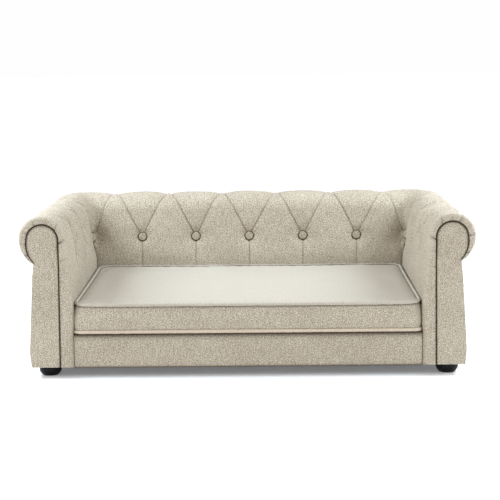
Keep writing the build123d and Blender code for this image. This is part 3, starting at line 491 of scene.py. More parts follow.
def wall_relief(along, height, radius, seed):
    """How far the cloth stands out from (+) or is drawn into (-) the plain wall, and the painted
    shade in its folds and in the wells round its buttons."""
    narrow, pull, tone, gathers, bowl = [np.zeros_like(along) for _ in range(5)]
    wells = np.full_like(along, 1e3)
    window = (smooth(height, 40, 110) * (1 - 0.95 * smooth(height, 220, 300)))[:, None]
    for side in (-1, 1):
        buttons, folds = wall_folds(seed + side, side)
        for fold in folds:
            wide, thin, dark = fold.apply(along, height, radius)
            pull += wide**3
            narrow = np.where(np.abs(thin) > np.abs(narrow), thin, narrow)
            tone = np.maximum(tone, dark)
        for index, (fixed, turning) in enumerate(buttons):
            in_corner = 0 < abs(turning) < 1
            across = along - (fixed + turning * radius[:, None])
            up = (height - BUTTON_H)[:, None]
            away = np.hypot(across, up)
            angle = np.arctan2(up, across)
            seen = across * (DIMPLE_W / radius[:, None] if in_corner else 1.0)
            wells = np.minimum(wells, np.hypot(seen, up))
            deep, reach = (13.0, 19.0) if in_corner else (9.7, 15.0)
            bowl = np.maximum(bowl, deep * np.exp(-((np.maximum(away - 11.6, 0) / reach) ** 1.2)))
            phase = index * 1.7 + side
            folded = np.cos(11 * angle + phase) + 0.6 * np.cos(7 * angle - 2 * phase)
            gathers += 0.5 * folded * bell(away - 17.0, 8.0)
    pull = (pull + bowl**3) ** (1 / 3)
    clear = smooth(wells, WELL_R, 17.0)
    slow = ripples(seed + 11, 95.0)(along, height[:, None])
    quick = ripples(seed + 12, 24.0)(along, height[:, None])
    total = 4.2 * window - pull - narrow * clear + gathers * clear
    total += (0.6 * slow + 0.2 * quick) * clear * smooth(height, 10, 60)[:, None]
    total = np.where(wells < WELL_R, -BUTTON_SINK - 0.5, total)
    low = 1 - smooth(height, 60, 110)[:, None]
    total = total * (1 - low) + np.clip(total, -6.0, 0.6) * low
    tone = tone * smooth(wells, 9.0, 15.0)
    # Painted shade: a dark ring in each button's well, round the button
    tone = np.maximum(tone, 0.9 * (wells < 12.4))
    return total, tone


class Run:
    """Columns of points along the wall. Each has a base point, an outward direction, and its
    place along the wall as a fixed part and a part that grows with the radius."""

    def __init__(self):
        self.base, self.out, self.fixed, self.turning = [], [], [], []

    def add(self, base, out, fixed, turning):
        self.base.append(base)
        self.out.append(out)
        self.fixed.append(fixed)
        self.turning.append(turning)

    def back(self, step):
        count = int(round(2 * SEAT_X / step))
        for x in np.linspace(-SEAT_X, SEAT_X, count + 1):
            self.add((x, SEAT_Y), (0, 1), x, 0)

    def corner(self, side, start, end, count):
        """Angles from the arm (0) to the back (90 degrees)."""
        for angle in np.radians(np.linspace(start, end, count)):
            out = (side * math.cos(angle), math.sin(angle))
            self.add((side * SEAT_X, SEAT_Y), out, side * SEAT_X, side * (math.pi / 2 - angle))

    def arm(self, side, start, end, step):
        count = int(round(abs(end - start) / step))
        for y in np.linspace(start, end, count + 1):
            self.add((side * SEAT_X, y), (side, 0), side * (SEAT_X + SEAT_Y - y), side * math.pi / 2)

    def arrays(self):
        return [np.array(values, float) for values in (self.base, self.out, self.fixed, self.turning)]


def place_on(base, out, width, z):
    """Points at a width out from the columns' base points, at heights z."""
    xy = base[None] + out[None] * width[..., None]
    return np.concatenate([xy, z[..., None]], axis=-1)


def padded_wall(run, foot, step, seed):
    """Points, weave map and painted shade of the padding along a run of columns."""
    base, out, fixed, turning = run.arrays()
    outline, normal, height = wall_outline(foot, step)
    radius = np.maximum(outline[:, 0], 5.0)
    along = fixed[None] + turning[None] * radius[:, None]
    relief, tone = wall_relief(along, height, radius, seed)
    width = outline[:, :1] + normal[:, :1] * relief
    z = outline[:, 1:] + normal[:, 1:] * relief
    in_corner = (np.abs(turning) > 0.01) & (np.abs(turning) < math.pi / 2 - 0.01)
    width = np.where(in_corner, np.maximum(width, 0.4), width)
    z = np.where(np.arange(len(z))[:, None] == 0, foot, z)
    points = place_on(base, out, width, z)
    weave = np.stack([along, height[:, None] + np.zeros_like(along)], -1)
    return points, weave, tone


def padding_piece(name, node, points, weave, tone, keep=None):
    rows, columns = points.shape[:2]
    piece = make_piece(
        name, points.reshape(-1, 3), grid_faces(rows, columns, keep), weave.reshape(-1, 2),
        linen, replaced=[node], weld=0.05, painted_shade=tone,
    )


WALL_SEED, CORNER_COLUMNS = 5, 22
BACK_STEP, ARM_STEP = 1.7, 2.2


def back_padding():
    run = Run()
    run.corner(-1, 45, 88, CORNER_COLUMNS)
    run.back(BACK_STEP)
    run.corner(1, 88, 45, CORNER_COLUMNS)
    padding_piece("back_upholstery", "back_padding", *padded_wall(run, FLOOR_Z, BACK_STEP, WALL_SEED))


# Where the radial pleats round each arm front are: angle round the head in degrees, depth.
# The depth also sets how dark the pleat's painted shade is.
HEAD_PLEATS = {
    -1: [(180, 2.4), (133, 1.3), (100, 0.5), (62, 0.7), (25, 0.9), (-8, 0.9), (-38, 2.0)],
    1: [(178, 2.2), (150, 0.6), (119, 1.6), (88, 0.5), (62, 1.5), (33, 0.6), (6, 1.5), (-40, 2.0)],
}
STILE_PLEATS = {-1: [(267, 1.1), (236, 0.5)], 1: [(282, 0.8), (246, 0.9)]}


def arc_through(start, middle, end, count):
    """Points on the arc from one place through a second to a third."""
    a, b, c = [complex(*place) for place in (start, middle, end)]
    turn = (c - a) / (b - a)
    centre = a - (a - b) * (turn - abs(turn) ** 2) / (2j * turn.imag)
    sweep = cmath.phase((c - centre) / (a - centre))
    angles = cmath.phase(a - centre) + sweep * np.linspace(0, 1, count)
    radius = abs(a - centre)
    return np.stack([centre.real + radius * np.cos(angles), centre.imag + radius * np.sin(angles)], 1)


# Degrees round the roll, from level outwards to where it meets the leaning seat side
ROLL_END = 173.9


def facing_edge(outline):
    """For each point of the wall's outline, the point of the facing's seam that it is drawn to."""
    edge = np.zeros_like(outline)
    angle = np.degrees(np.arctan2(outline[:, 1] - ROLL_Z, outline[:, 0] - ROLL_W))
    side_arc = arc_through((HEAD_W + HEAD_R, HEAD_Z), SHOULDER, FACING_NECK, 40)
    for k, (w, z) in enumerate(outline):
        if angle[k] < -90 or (angle[k] > ROLL_END and w < ROLL_W):
            drawn = z - 7.2 * smooth(np.array(z), 200.0, 316.2)
            share = (drawn - HEM_BASE_Z) / (HEAD_Z - HEM_BASE_Z)
            edge[k] = (STILE_W + (HEAD_W - HEAD_R - STILE_W) * share, drawn)
        elif angle[k] >= 0:
            turn = math.radians(angle[k] * 180 / ROLL_END)
            edge[k] = (HEAD_W + HEAD_R * math.cos(turn), HEAD_Z + HEAD_R * math.sin(turn))
        else:
            share = np.clip((ROLL_Z - z) / (ROLL_Z - NECK_Z), 0, 1)
            place = share * (len(side_arc) - 1)
            edge[k] = [np.interp(place, np.arange(len(side_arc)), side_arc[:, axis]) for axis in (0, 1)]
    return edge


FRONT_ROUNDING, HEAD_LOW_Z = 9.0, 268.0


def arm_front(side, outline, height):
    """The rounded front of an arm's padding, from the seam of the facing to the arm's side."""
    edge = facing_edge(outline)
    inward = edge - outline
    reach = np.linalg.norm(inward, axis=1)
    inward /= reach[:, None]
    rounding = np.minimum(FRONT_ROUNDING, reach * 0.6)
    head = np.degrees(np.arctan2(outline[:, 1] - HEAD_Z, outline[:, 0] - HEAD_W))
    on_head = outline[:, 1] > HEAD_LOW_Z
    columns, weave, painted_shade = [], [], []
    flat_count, turn_count = 8, 8
    wobble = ripples(40 + side, 26.0)
    steps = [(reach + 2.0, 7.0), (reach + 0.6, 3.4), (reach - 0.6, 1.5)]
    steps += [(reach - 1.6 + (rounding - reach + 1.6) * k / flat_count, None) for k in range(flat_count)]
    for k in range(len(steps) + turn_count):
        if k < len(steps):
            depth, lift = steps[k]
            share = np.clip((reach - depth) / (reach - rounding), 0, 1)
            if lift is None:
                lift = 1.2 * bell(share * 7.0, 1.0) - 0.9 * np.sin(math.pi * share)
            out_front, out_side = 1.0, 0.0
        else:
            turn = math.radians(90.0 * (1 - (k - len(steps)) / turn_count))
            share = np.ones(len(outline))
            lift = rounding * (1 - math.sin(turn))
            depth = rounding * (1 - math.cos(turn))
            out_front, out_side = math.sin(turn), math.cos(turn)
        fade = bell(share * 0.6, 1.0) * (1.0 if k < len(steps) else 0.4 + 0.6 * out_front)
        dent, dark = np.zeros(len(outline)), np.zeros(len(outline))
        # Painted shade in the radial pleats round the head and in the creases low on the stile
        for angle, deep in HEAD_PLEATS[side]:
            off = np.radians((head - angle + 180) % 360 - 180) * 40.0
            dent += deep * (bell(off, 1.8) - 0.35 * bell(off - 4.5, 3.0)) * on_head
            dark = np.maximum(dark, 0.4 * deep * bell(off, 1.9) * on_head)
        for z, deep in STILE_PLEATS[side]:
            off = outline[:, 1] - z
            crease = deep * bell(off, 1.6) * (outline[:, 0] < 20)
            dent += crease
            dark = np.maximum(dark, 0.36 * crease)
        dent = dent * fade + 0.25 * wobble(height, k * 2.0) * (k > 3)
        # Painted shade along the seam of the facing, over the first columns
        seam = (1.0, 1.0, 1.0, 0.35)[k] if k < 4 else 0.0
        y = RIM_Y + lift + dent * out_front
        at = outline + inward * (depth + dent * out_side)[:, None]
        columns.append(np.stack([side * (SEAT_X + at[:, 0]), y + np.zeros(len(outline)), at[:, 1]], -1))
        weave.append(np.stack([side * (SEAT_X + SEAT_Y - RIM_Y + depth - lift), height], -1))
        painted_shade.append(np.maximum(seam, dark * fade))
    return np.stack(columns, 1), np.stack(weave, 1), np.stack(painted_shade, 1), rounding


def arm_padding(side, name, node):
    outline, _, height = wall_outline(FOOT_Z, ARM_STEP)
    cap, cap_weave, cap_tone, rounding = arm_front(side, outline, height)
    run = Run()
    run.arm(side, RIM_Y + FRONT_ROUNDING, SEAT_Y, ARM_STEP)
    run.corner(side, 2, 45, CORNER_COLUMNS)
    points, weave, tone = padded_wall(run, FOOT_Z, ARM_STEP, WALL_SEED)
    # The arm's side starts plain behind the rounded front and takes up its folds from there
    level = np.zeros(points.shape[:2])
    plain = place_on(*run.arrays()[:2], outline[:, :1] + level, outline[:, 1:] + level)
    share = smooth(np.abs(points[0, :, 1] - RIM_Y), 12.0, 60.0)
    share[-CORNER_COLUMNS:] = 1.0
    points = plain + (points - plain) * share[None, :, None]
    tone = tone * share[None]
    # The painted shade of the front's pleats fades out over the first columns, which close up to its
    # rounding
    faded, closed_up = 12, 6
    carried = cap_tone[:, -1:] * np.exp(-np.arange(faded) * ARM_STEP / 7.0)
    tone[:, :faded] = np.maximum(tone[:, :faded], carried)
    for k in range(closed_up):
        points[:, k, 1] -= (FRONT_ROUNDING - rounding) * (1 - k / closed_up)
    points = np.concatenate([cap, points], 1)
    weave = np.concatenate([cap_weave, weave], 1)
    tone = np.concatenate([cap_tone, tone], 1)
    low = points[:-1, :-1, 2] < FLOOR_Z - 1.0
    behind = points[:-1, 1:, 1] > BOARD_BACK_Y
    padding_piece(name, node, points, weave, tone, ~(low & behind))


# Flat and crowned panels from an outline


def edge_distance(points, outline, closed=True):
    """How far each point is from a line."""
    start, end = (outline, np.roll(outline, -1, axis=0)) if closed else (outline[:-1], outline[1:])
    run = end - start
    size = (run**2).sum(1)
    best = np.full(len(points), 1e9)
    for k in range(len(start)):
        share = np.clip(((points - start[k]) @ run[k]) / max(size[k], 1e-9), 0, 1)
        near = start[k] + share[:, None] * run[k]
        best = np.minimum(best, np.linalg.norm(points - near, axis=1))
    return best


def inside(points, outline):
    x, y = points.T
    found = np.zeros(len(points), bool)
    ends = np.roll(outline, -1, axis=0)
    for (x0, y0), (x1, y1) in zip(outline, ends):
        crosses = (y0 > y) != (y1 > y)
        if y1 != y0:
            found ^= crosses & (x < (x1 - x0) * (y - y0) / (y1 - y0) + x0)
    return found


def offset_ring(outline, inset):
    ahead = np.roll(outline, -1, axis=0) - np.roll(outline, 1, axis=0)
    ahead /= np.linalg.norm(ahead, axis=1)[:, None]
    return outline + inset * np.stack([-ahead[:, 1], ahead[:, 0]], 1)


def panel(outline, rings, step):
    """Points and triangles that fill an anticlockwise outline, finer near its edge."""
    count = len(outline)
    points = [outline]
    for inset in rings:
        ring = offset_ring(outline, inset)
        good = inside(ring, outline) & (edge_distance(ring, outline) > inset * 0.97)
        points.append(ring[good])
    low, high = outline.min(0), outline.max(0)
    across, up = np.meshgrid(np.arange(low[0], high[0], step), np.arange(low[1], high[1], step))
    fill = np.stack([across.ravel(), up.ravel()], 1)
    fill = fill[inside(fill, outline)]
    fill = fill[edge_distance(fill, outline) > rings[-1] + step * 0.6]
    points.append(fill)
    every = np.vstack(points)
    edges = [(k, (k + 1) % count) for k in range(count)]
    verts, _, faces, _, _, _ = delaunay_2d_cdt([Vector(p) for p in every], edges, [], 1, 0.001)
    return np.array([tuple(v) for v in verts]), [list(face) for face in faces]


PANEL_EDGE = 2.6


def crowned_panel(name, outline, front, back, crown, node, seed, seam=None, rail=False):
    """An upholstered panel facing the front: a rounded edge, a crowned face and a flat back. It has
    painted shade along a seam, broader round a head, or painted shadow at a rail's top and foot."""
    flat, faces = panel(outline, [0.5, 1.1, 1.9, 2.9, 4.2, 6.5], 4.5)
    away = edge_distance(flat, outline)
    roll = np.clip(1 - away / PANEL_EDGE, 0, 1)
    y = front + PANEL_EDGE * (1 - np.sqrt(np.maximum(1 - roll**2, 0)))
    y -= crown * (1 - np.exp(-away / 16.0))
    y += 0.14 * ripples(seed, 38.0)(flat[:, 0], flat[:, 1]) * smooth(away, 2, 12)
    y += 0.35 * np.exp(-away / 7.0) * ripples(seed + 1, 9.0)(flat[:, 0], flat[:, 1])
    verts = np.stack([flat[:, 0], y, flat[:, 1]], 1)
    rim = [int(np.argmin(((flat - point) ** 2).sum(1))) for point in outline]
    count, total = len(outline), len(verts)
    skirt = np.stack([outline[:, 0], np.full(count, back), outline[:, 1]], 1)
    verts = np.vstack([verts, skirt])
    uvs = np.vstack([flat, offset_ring(outline, -4.0)])
    for k in range(count):
        after = (k + 1) % count
        faces.append([rim[k], total + k, total + after, rim[after]])
    faces.append([total + k for k in range(count)])
    painted_shade = np.zeros(total)
    # Painted shadow on the rail: under the cushion's bottom cord at its top, and by the floor at its foot
    if rail:
        painted_shade = bell(outline[:, 1].max() - flat[:, 1], 8.5)
        painted_shade += 0.9 * bell(flat[:, 1] - outline[:, 1].min(), 3.6)
    # Painted shade in the seam's groove, broader round the head
    if seam is not None:
        broad = 1.7 + 1.8 * smooth(flat[:, 1], 250.0, 300.0)
        painted_shade = bell(edge_distance(flat, seam, False), broad)
    painted_shade = np.concatenate([painted_shade, np.zeros(count)])
    piece = make_piece(name, verts, faces, uvs, linen, replaced=[node], weld=0.02, painted_shade=painted_shade)


# Heights of the cloth's lower edge, of the front rail's, which hangs a little lower, and of its top
HEM_Z, RAIL_HEM_Z, RAIL_TOP_Z = 25.3, 21.8, 100.0


def facing(side, name, node):
    head = np.radians(np.linspace(180, 0, 60))
    line = [(STILE_W, HEM_Z), (HEAD_W - HEAD_R, HEAD_Z)]
    line += [(HEAD_W + HEAD_R * math.cos(a), HEAD_Z + HEAD_R * math.sin(a)) for a in head[1:]]
    line += [tuple(place) for place in arc_through(line[-1], SHOULDER, FACING_NECK, 22)[1:]]
    seam = np.array(line) * (side, 1) + (side * SEAT_X, 0)
    line[-1] = (FACING_NECK[0] + SIDE_PUFF * 0.6, FACING_NECK[1] - 2.0)
    line += [(NECK_W + SIDE_PUFF + 2.0, 225.0), (OUTER_FOOT_W + SIDE_PUFF, 60.0), (OUTER_FOOT_W, HEM_Z)]
    line = np.array(line)
    line[:, 0] = side * (SEAT_X + line[:, 0])
    line = resample(line, 3.0)
    area = 0.5 * np.sum(line[:, 0] * np.roll(line[:, 1], -1) - np.roll(line[:, 0], -1) * line[:, 1])
    if area < 0:
        line = line[::-1]
    crowned_panel(name, line, FRONT_Y + 0.6, BOARD_Y, 0.6, node, 60 + side, seam)


def front_rail():
    reach = SEAT_X - 0.4
    line = resample(rectangle((-reach, RAIL_HEM_Z), (reach, RAIL_TOP_Z)), 6.0)
    crowned_panel(
        "front_rail_cloth", line, BOARD_Y + 0.8, BOARD_BACK_Y, 0.8, "front_rail_pad", 70, rail=True,
    )


# Outer panels below the roll


def outer_panel(name, node, run, seed):
    base, out, fixed, turning = run.arrays()
    z = np.concatenate([[HEM_Z, HEM_Z, 25.4, 26.2, 28.0], np.linspace(32, NECK_Z + 2, 44)])
    slope = (OUTER_FOOT_W - NECK_W) / (NECK_Z - HEM_BASE_Z)
    width = OUTER_FOOT_W - slope * (z - HEM_BASE_Z)
    width[:5] += np.array([-6.0, -2.6, -1.3, -0.4, -0.1])
    grid_width = width[:, None] + np.zeros(len(fixed))[None]
    along = fixed[None] + turning[None] * grid_width
    height = z[:, None] + np.zeros_like(along)
    share = smooth(height, 26, 60) * (1 - smooth(height, 225, 256))
    grid_width = grid_width + SIDE_PUFF * share + 0.35 * ripples(seed, 70.0)(along, height) * share
    grid_width -= 1.2 * np.exp(-((NECK_Z + 1 - height) / 5.0))
    pucker = np.exp(-((NECK_Z - height) / 16.0)) * 0.5
    grid_width += pucker * ripples(seed + 3, 17.0)(along, height * 0.2)
    points = place_on(base, out, grid_width, height)
    rows, columns = points.shape[:2]
    weave = np.stack([along, height], -1)
    faces = grid_faces(rows, columns)
    piece = make_piece(
        name, points.reshape(-1, 3), faces, weave.reshape(-1, 2), linen, replaced=[node],
    )
    thicken(piece, 2.0)


# Covered buttons, gathered at their edge


def buttons(name, node, places):
    """Each place is a point on the floor of a dimple and the direction that the button faces."""
    radii = np.array([0, 2.5, 5.0, 7.2, 8.6, 9.6, 10.3, 10.8, 11.0, 10.9, 10.2, 8.8])
    rise = np.array([7.6, 7.58, 7.5, 7.3, 7.0, 6.6, 6.0, 5.1, 3.9, 2.3, 1.1, 0.35])
    count = 40
    turn = np.linspace(0, math.tau, count, endpoint=False)
    verts, faces, uvs, painted_shade = [], [], [], []
    for index, (centre, facing_to) in enumerate(places):
        forward = Vector(facing_to).normalized()
        across = Vector((0, 0, 1)).cross(forward).normalized()
        axes = np.array([across, forward.cross(across), forward])
        gather = np.cos(13 * turn + index) * 0.5 + np.cos(8 * turn + 2 * index) * 0.5
        start = len(verts)
        for k, (radius, high) in enumerate(zip(radii, rise)):
            folded = radius + 0.32 * gather * smooth(np.array(float(k)), 5, 9)
            local = np.stack([folded * np.cos(turn), folded * np.sin(turn), np.full(count, high)], 1)
            verts += list(np.array(centre) + local @ axes)
            flat = (radius + (3 if k > 8 else 0)) * np.stack([np.cos(turn), np.sin(turn)], 1)
            uvs += list(flat + 40.0 * index)
            # Painted shade on the button's rim, where its cover turns under into the well
            painted_shade += [0.0 if k < 6 else (0.2, 0.7, 0.9)[min(k - 6, 2)]] * count
        faces += list(grid_faces(len(radii), count, loop=True) + start)
        faces.append([start + (len(radii) - 1) * count + k for k in range(count)])
    piece = make_piece(name, verts, faces, uvs, linen, replaced=[node], weld=0.02, painted_shade=painted_shade)


DIAGONAL = DIMPLE_W / math.sqrt(2)
buttons(
    "back_button_covers", "back_buttons",
    [((x, SEAT_Y + DIMPLE_W, BUTTON_Z), (0, -1, 0)) for x in BACK_BUTTONS],
)
buttons(
    "corner_button_covers", "corner_buttons",
    [((side * (SEAT_X + DIAGONAL), SEAT_Y + DIAGONAL, BUTTON_Z), (-side, -1, 0)) for side in (-1, 1)],
)
buttons(
    "arm_button_covers", "arm_buttons",
    [((side * (SEAT_X + DIMPLE_W), y, BUTTON_Z), (-side, 0, 0)) for side in (-1, 1) for y in ARM_BUTTONS],
)

back_padding()
for side, word in ((-1, "left"), (1, "right")):
    arm_padding(side, f"{word}_arm_upholstery", f"{word}_arm_padding")
    facing(side, f"{word}_arm_front_panel", f"{word}_arm_facing")
    outer_run = Run()
    outer_run.arm(side, node_box(f"{word}_outer_panel")[0][1] + 0.3, SEAT_Y, 7.0)
    outer_run.corner(side, 4, 45, 12)
    outer_panel(f"{word}_outer_cloth", f"{word}_outer_panel", outer_run, 80 + side)
front_rail()
rear_run = Run()
rear_run.corner(-1, 45, 86, 12)
rear_run.back(7.0)
rear_run.corner(1, 86, 45, 12)
outer_panel("back_outer_cloth", "back_outer_panel", rear_run, 85)


# The loose seat cushion: a box of cloth blown up by its filling, then parted at its seams

CUSHION_X, CUSHION_Y = 382.5, (-299.0, 183.5)
CUSHION_MIDDLE = np.array([0.0, (CUSHION_Y[0] + CUSHION_Y[1]) / 2])
CUSHION_HALF = np.array([CUSHION_X, (CUSHION_Y[1] - CUSHION_Y[0]) / 2])
SEAM_LOW, SEAM_HIGH = 104.5, 166.4
PIPE_INSET = 4.2
CUSHION_COLUMNS, CUSHION_ROWS, BAND_ROWS = 97, 61, 8


def to_edges(x, y):
    """The distances to the nearer side and to the nearer end of the cushion."""
    return CUSHION_X - np.abs(x), np.minimum(y - CUSHION_Y[0], CUSHION_Y[1] - y)


def corner_lift(x, y):
    """Box cushions stand up a little at their corners and sag between them, and this one
    sits higher against the back than at its front."""
    backward = (y - CUSHION_Y[0]) / (CUSHION_Y[1] - CUSHION_Y[0])
    return 1.5 * np.exp(-np.hypot(*to_edges(x, y)) / 55.0) - 5.0 + 10.5 * backward


def rounded_square(u, v, radius, wide=0.0):
    """Maps a square of -1..1 onto the cushion's outline at the seam, with rounded corners.
    It can be wider at the front, and then a little more to the left."""
    half = CUSHION_HALF - PIPE_INSET
    square = np.stack([u, v], -1) * half
    over = np.maximum(np.abs(square) - (half - radius), 0) / radius
    rounded = np.sign(square) * (half - radius + radius * over * np.sqrt(1 - over[..., ::-1] ** 2 / 2))
    x, y = np.moveaxis(np.where((over > 0).all(-1, keepdims=True), rounded, square), -1, 0)
    x = x + u * wide * smooth(-v, -0.4, 0.8) * (1 - 0.3 * u)
    return x, y + CUSHION_MIDDLE[1]


def square_rim(columns, rows):
    """The indices of a grid's border, anticlockwise from its first point."""
    index = np.arange(rows * columns).reshape(rows, columns)
    return np.concatenate([index[0, :-1], index[:-1, -1], index[-1, :0:-1], index[:0:-1, 0]])


def cushion_grid():
    """A square of -1..1 each way, and a crown of height 1 over it."""
    u, v = np.meshgrid(np.linspace(-1, 1, CUSHION_COLUMNS), np.linspace(-1, 1, CUSHION_ROWS))
    return u, v, (1 - u**4) * (1 - v**4)


def cushion_start():
    """The closed box before it is filled: top, bottom, and the rows of the band between them."""
    u, v, crown = cushion_grid()
    x, y = rounded_square(u, v, 30.0, 1.5)
    low_x, low_y = rounded_square(u, v, 16.0, 3.4)
    top_z = SEAM_HIGH + 1.5 + 4.5 * crown + corner_lift(x, y)
    bottom_z = SEAM_LOW - 1.5 - 1.8 * crown
    top = np.stack([x, y, top_z], -1).reshape(-1, 3)
    bottom = np.stack([low_x, low_y, bottom_z], -1).reshape(-1, 3)
    rim = square_rim(CUSHION_COLUMNS, CUSHION_ROWS)
    size = len(top)
    faces_top = grid_faces(CUSHION_ROWS, CUSHION_COLUMNS)
    faces_bottom = grid_faces(CUSHION_ROWS, CUSHION_COLUMNS)[:, ::-1] + size
    verts = [top, bottom]
    ring_ids = [rim]
    for k in range(1, BAND_ROWS):
        share = k / BAND_ROWS
        ring = top[rim] * (1 - share) + bottom[rim] * share
        from_middle = ring[:, :2] - CUSHION_MIDDLE
        outward = np.where(np.abs(from_middle) > CUSHION_HALF - 20, np.sign(from_middle), 0)
        ring[:, :2] += 5.0 * math.sin(math.pi * share) ** 0.7 * outward
        ring_ids.append(np.arange(len(rim)) + 2 * size + (k - 1) * len(rim))
        verts.append(ring)
    ring_ids.append(rim + size)
    faces_band = []
    for above, below in zip(ring_ids[:-1], ring_ids[1:]):
        after = np.roll(above, -1), np.roll(below, -1)
        faces_band.append(np.stack([above, below, after[1], after[0]], -1))
    return np.vstack(verts), faces_top, faces_bottom, np.vstack(faces_band), rim, size


def blown_up(verts, faces, pinned, pressure, frames, grow, cap):
    """The same points after a cloth simulation under pressure, moved by no more than the cap."""
    mesh = bpy.data.meshes.new("blown")
    mesh.from_pydata((verts * MM).tolist(), [], [list(map(int, face)) for face in faces])
    piece = bpy.data.objects.new("blown", mesh)
    scene.collection.objects.link(piece)
    group = piece.vertex_groups.new(name="held")
    for weight in np.unique(np.round(pinned, 2)):
        if weight > 0:
            chosen = np.nonzero(np.abs(pinned - weight) < 0.005)[0]
            group.add(chosen.tolist(), float(weight), "REPLACE")
    cloth = piece.modifiers.new("cloth", "CLOTH")
    settings = cloth.settings
    settings.quality = 6
    settings.mass = 0.3
    settings.tension_stiffness = settings.compression_stiffness = 15.0
    settings.shear_stiffness = 7.5
    settings.bending_stiffness = 0.6
    settings.air_damping = 2.0
    settings.use_pressure = True
    settings.uniform_pressure_force = pressure
    settings.shrink_min = -grow
    settings.vertex_group_mass = "held"
    settings.pin_stiffness = 5.0
    settings.effector_weights.gravity = 0.0
    cloth.collision_settings.use_self_collision = False
    cloth.point_cache.frame_start, cloth.point_cache.frame_end = 1, frames
    for number in range(1, frames + 1):
        scene.frame_set(number)
    shown = piece.evaluated_get(bpy.context.evaluated_depsgraph_get())
    moved = np.empty(len(verts) * 3)
    shown.to_mesh().vertices.foreach_get("co", moved)
    shown.to_mesh_clear()
    scene.frame_set(1)
    bpy.data.objects.remove(piece)
    shift = moved.reshape(-1, 3) / MM - verts
    size = np.maximum(np.linalg.norm(shift, axis=1), 1e-9)
    return verts + shift * (np.minimum(size, cap) / size)[:, None]


def cover_piece(name, node, verts, faces, uvs, material, thickness, painted_shade=None):
    """One cloth of the cushion's cover, subdivided once, with a little thickness."""
    used = np.unique(faces)
    renumber = np.full(len(verts), -1)
    renumber[used] = np.arange(len(used))
    dark = None if painted_shade is None else painted_shade[used]
    piece = make_piece(
        name, verts[used], renumber[faces], uvs[used], material, "seat_cushion", [node],
        painted_shade=dark,
    )
    thicken(piece, thickness, finer=1)


# The band's plane behind the zip, and the lowest that the cushion's underside puffs out
ZIP_BACKING_Y, CUSHION_REST_Z = 177.7, 100.6


def drawn_to_zip(verts, first):
    """Sets the rear of the band, whose points start at the first, flat behind the zip sewn to it."""
    x, y = verts[first:, 0], verts[first:, 1]
    share = (1 - smooth(np.abs(x), 306, 345)) * smooth(y, 120, 160)
    verts[first:, 1] = y + share * (ZIP_BACKING_Y - y)


def seat_cushion():
    verts, top, bottom, band, rim, size = cushion_start()
    held = np.zeros(len(verts))
    held[rim] = 1.0
    held[rim + size] = 1.0
    held[size:2 * size] = np.maximum(held[size:2 * size], 0.5)
    faces = np.vstack([top, bottom, band])
    verts = blown_up(verts, faces, held, pressure=5.0, frames=22, grow=0.012, cap=5.0)
    drawn_to_zip(verts, 2 * size)
    x, y = verts[:size, 0], verts[:size, 1]
    near = np.maximum(np.minimum(*to_edges(x, y)) - PIPE_INSET, 0)
    puckers = ripples(21, 15.0)(x, y) * np.exp(-near / 14.0) * smooth(near, 0.5, 5.0)
    slow = ripples(22, 120.0)(x, y) * smooth(near, 10, 60)
    verts[:size, 2] += 0.5 * puckers + 0.8 * slow
    verts[size:2 * size, 2] = np.maximum(verts[size:2 * size, 2], CUSHION_REST_Z)
    uvs = verts[:, :2].copy()
    band_ids = np.unique(band)
    uvs_band = uvs.copy()
    at_side, at_end = (np.abs(verts[band_ids, :2] - CUSHION_MIDDLE) / CUSHION_HALF).T
    # The weave of the band's sides lies beside that of its ends
    uvs_band[band_ids, 0] = np.where(at_side > at_end, verts[band_ids, 1] + 900.0, verts[band_ids, 0])
    uvs_band[band_ids, 1] = verts[band_ids, 2]
    # Painted shade in the cloth right beside each cord
    piping_shade = np.zeros(len(verts))
    piping_shade[rim] = 0.9
    piping_shade[rim + size] = 1.0
    # The top panel is cut from the paler copy of the linen, which is painted light
    cover_piece("cushion_top_cloth", "cushion_top_panel", verts, top, uvs, painted_light_linen, 1.4, piping_shade)
    cover_piece("cushion_bottom_cloth", "cushion_bottom_panel", verts, bottom, uvs, lining_cloth, 1.2)
    cover_piece("cushion_side_band", "cushion_boxing", verts, band, uvs_band, linen, 1.4, piping_shade)
    return verts, faces, rim, size


def tube(line, radius, count, seed, shade_at):
    """A closed tube along a closed line, with a weave map along and round it, and painted
    shade at the given angles round it.
    """
    ahead = np.roll(line, -1, axis=0) - np.roll(line, 1, axis=0)
    ahead /= np.linalg.norm(ahead, axis=1)[:, None]
    out = np.cross(ahead, np.array([0, 0, 1.0]))
    out /= np.linalg.norm(out, axis=1)[:, None]
    rise = np.cross(out, ahead)
    turn = np.linspace(0, math.tau, count, endpoint=False)
    run, around = np.meshgrid(lengths(line), turn, indexing="ij")
    size = radius + 0.18 * ripples(seed, 22.0)(run, 0 * run)
    size += 0.13 * ripples(seed + 1, 5.0)(run, 6.0 * around)
    ring = np.cos(around)[..., None] * out[:, None] + np.sin(around)[..., None] * rise[:, None]
    verts = line[:, None] + ring * size[..., None]
    weave = np.stack([run, radius * around], -1)
    quads = grid_faces(len(line), count, loop=True, ring=True)
    painted_shade = np.zeros(count)
    for angle, tone in shade_at:
        off = (np.degrees(turn) - angle + 180) % 360 - 180
        painted_shade = np.maximum(painted_shade, tone * bell(off, 20.0))
    return verts.reshape(-1, 3), quads, weave.reshape(-1, 2), np.tile(painted_shade, len(line))


PIPING_SIDES = 20


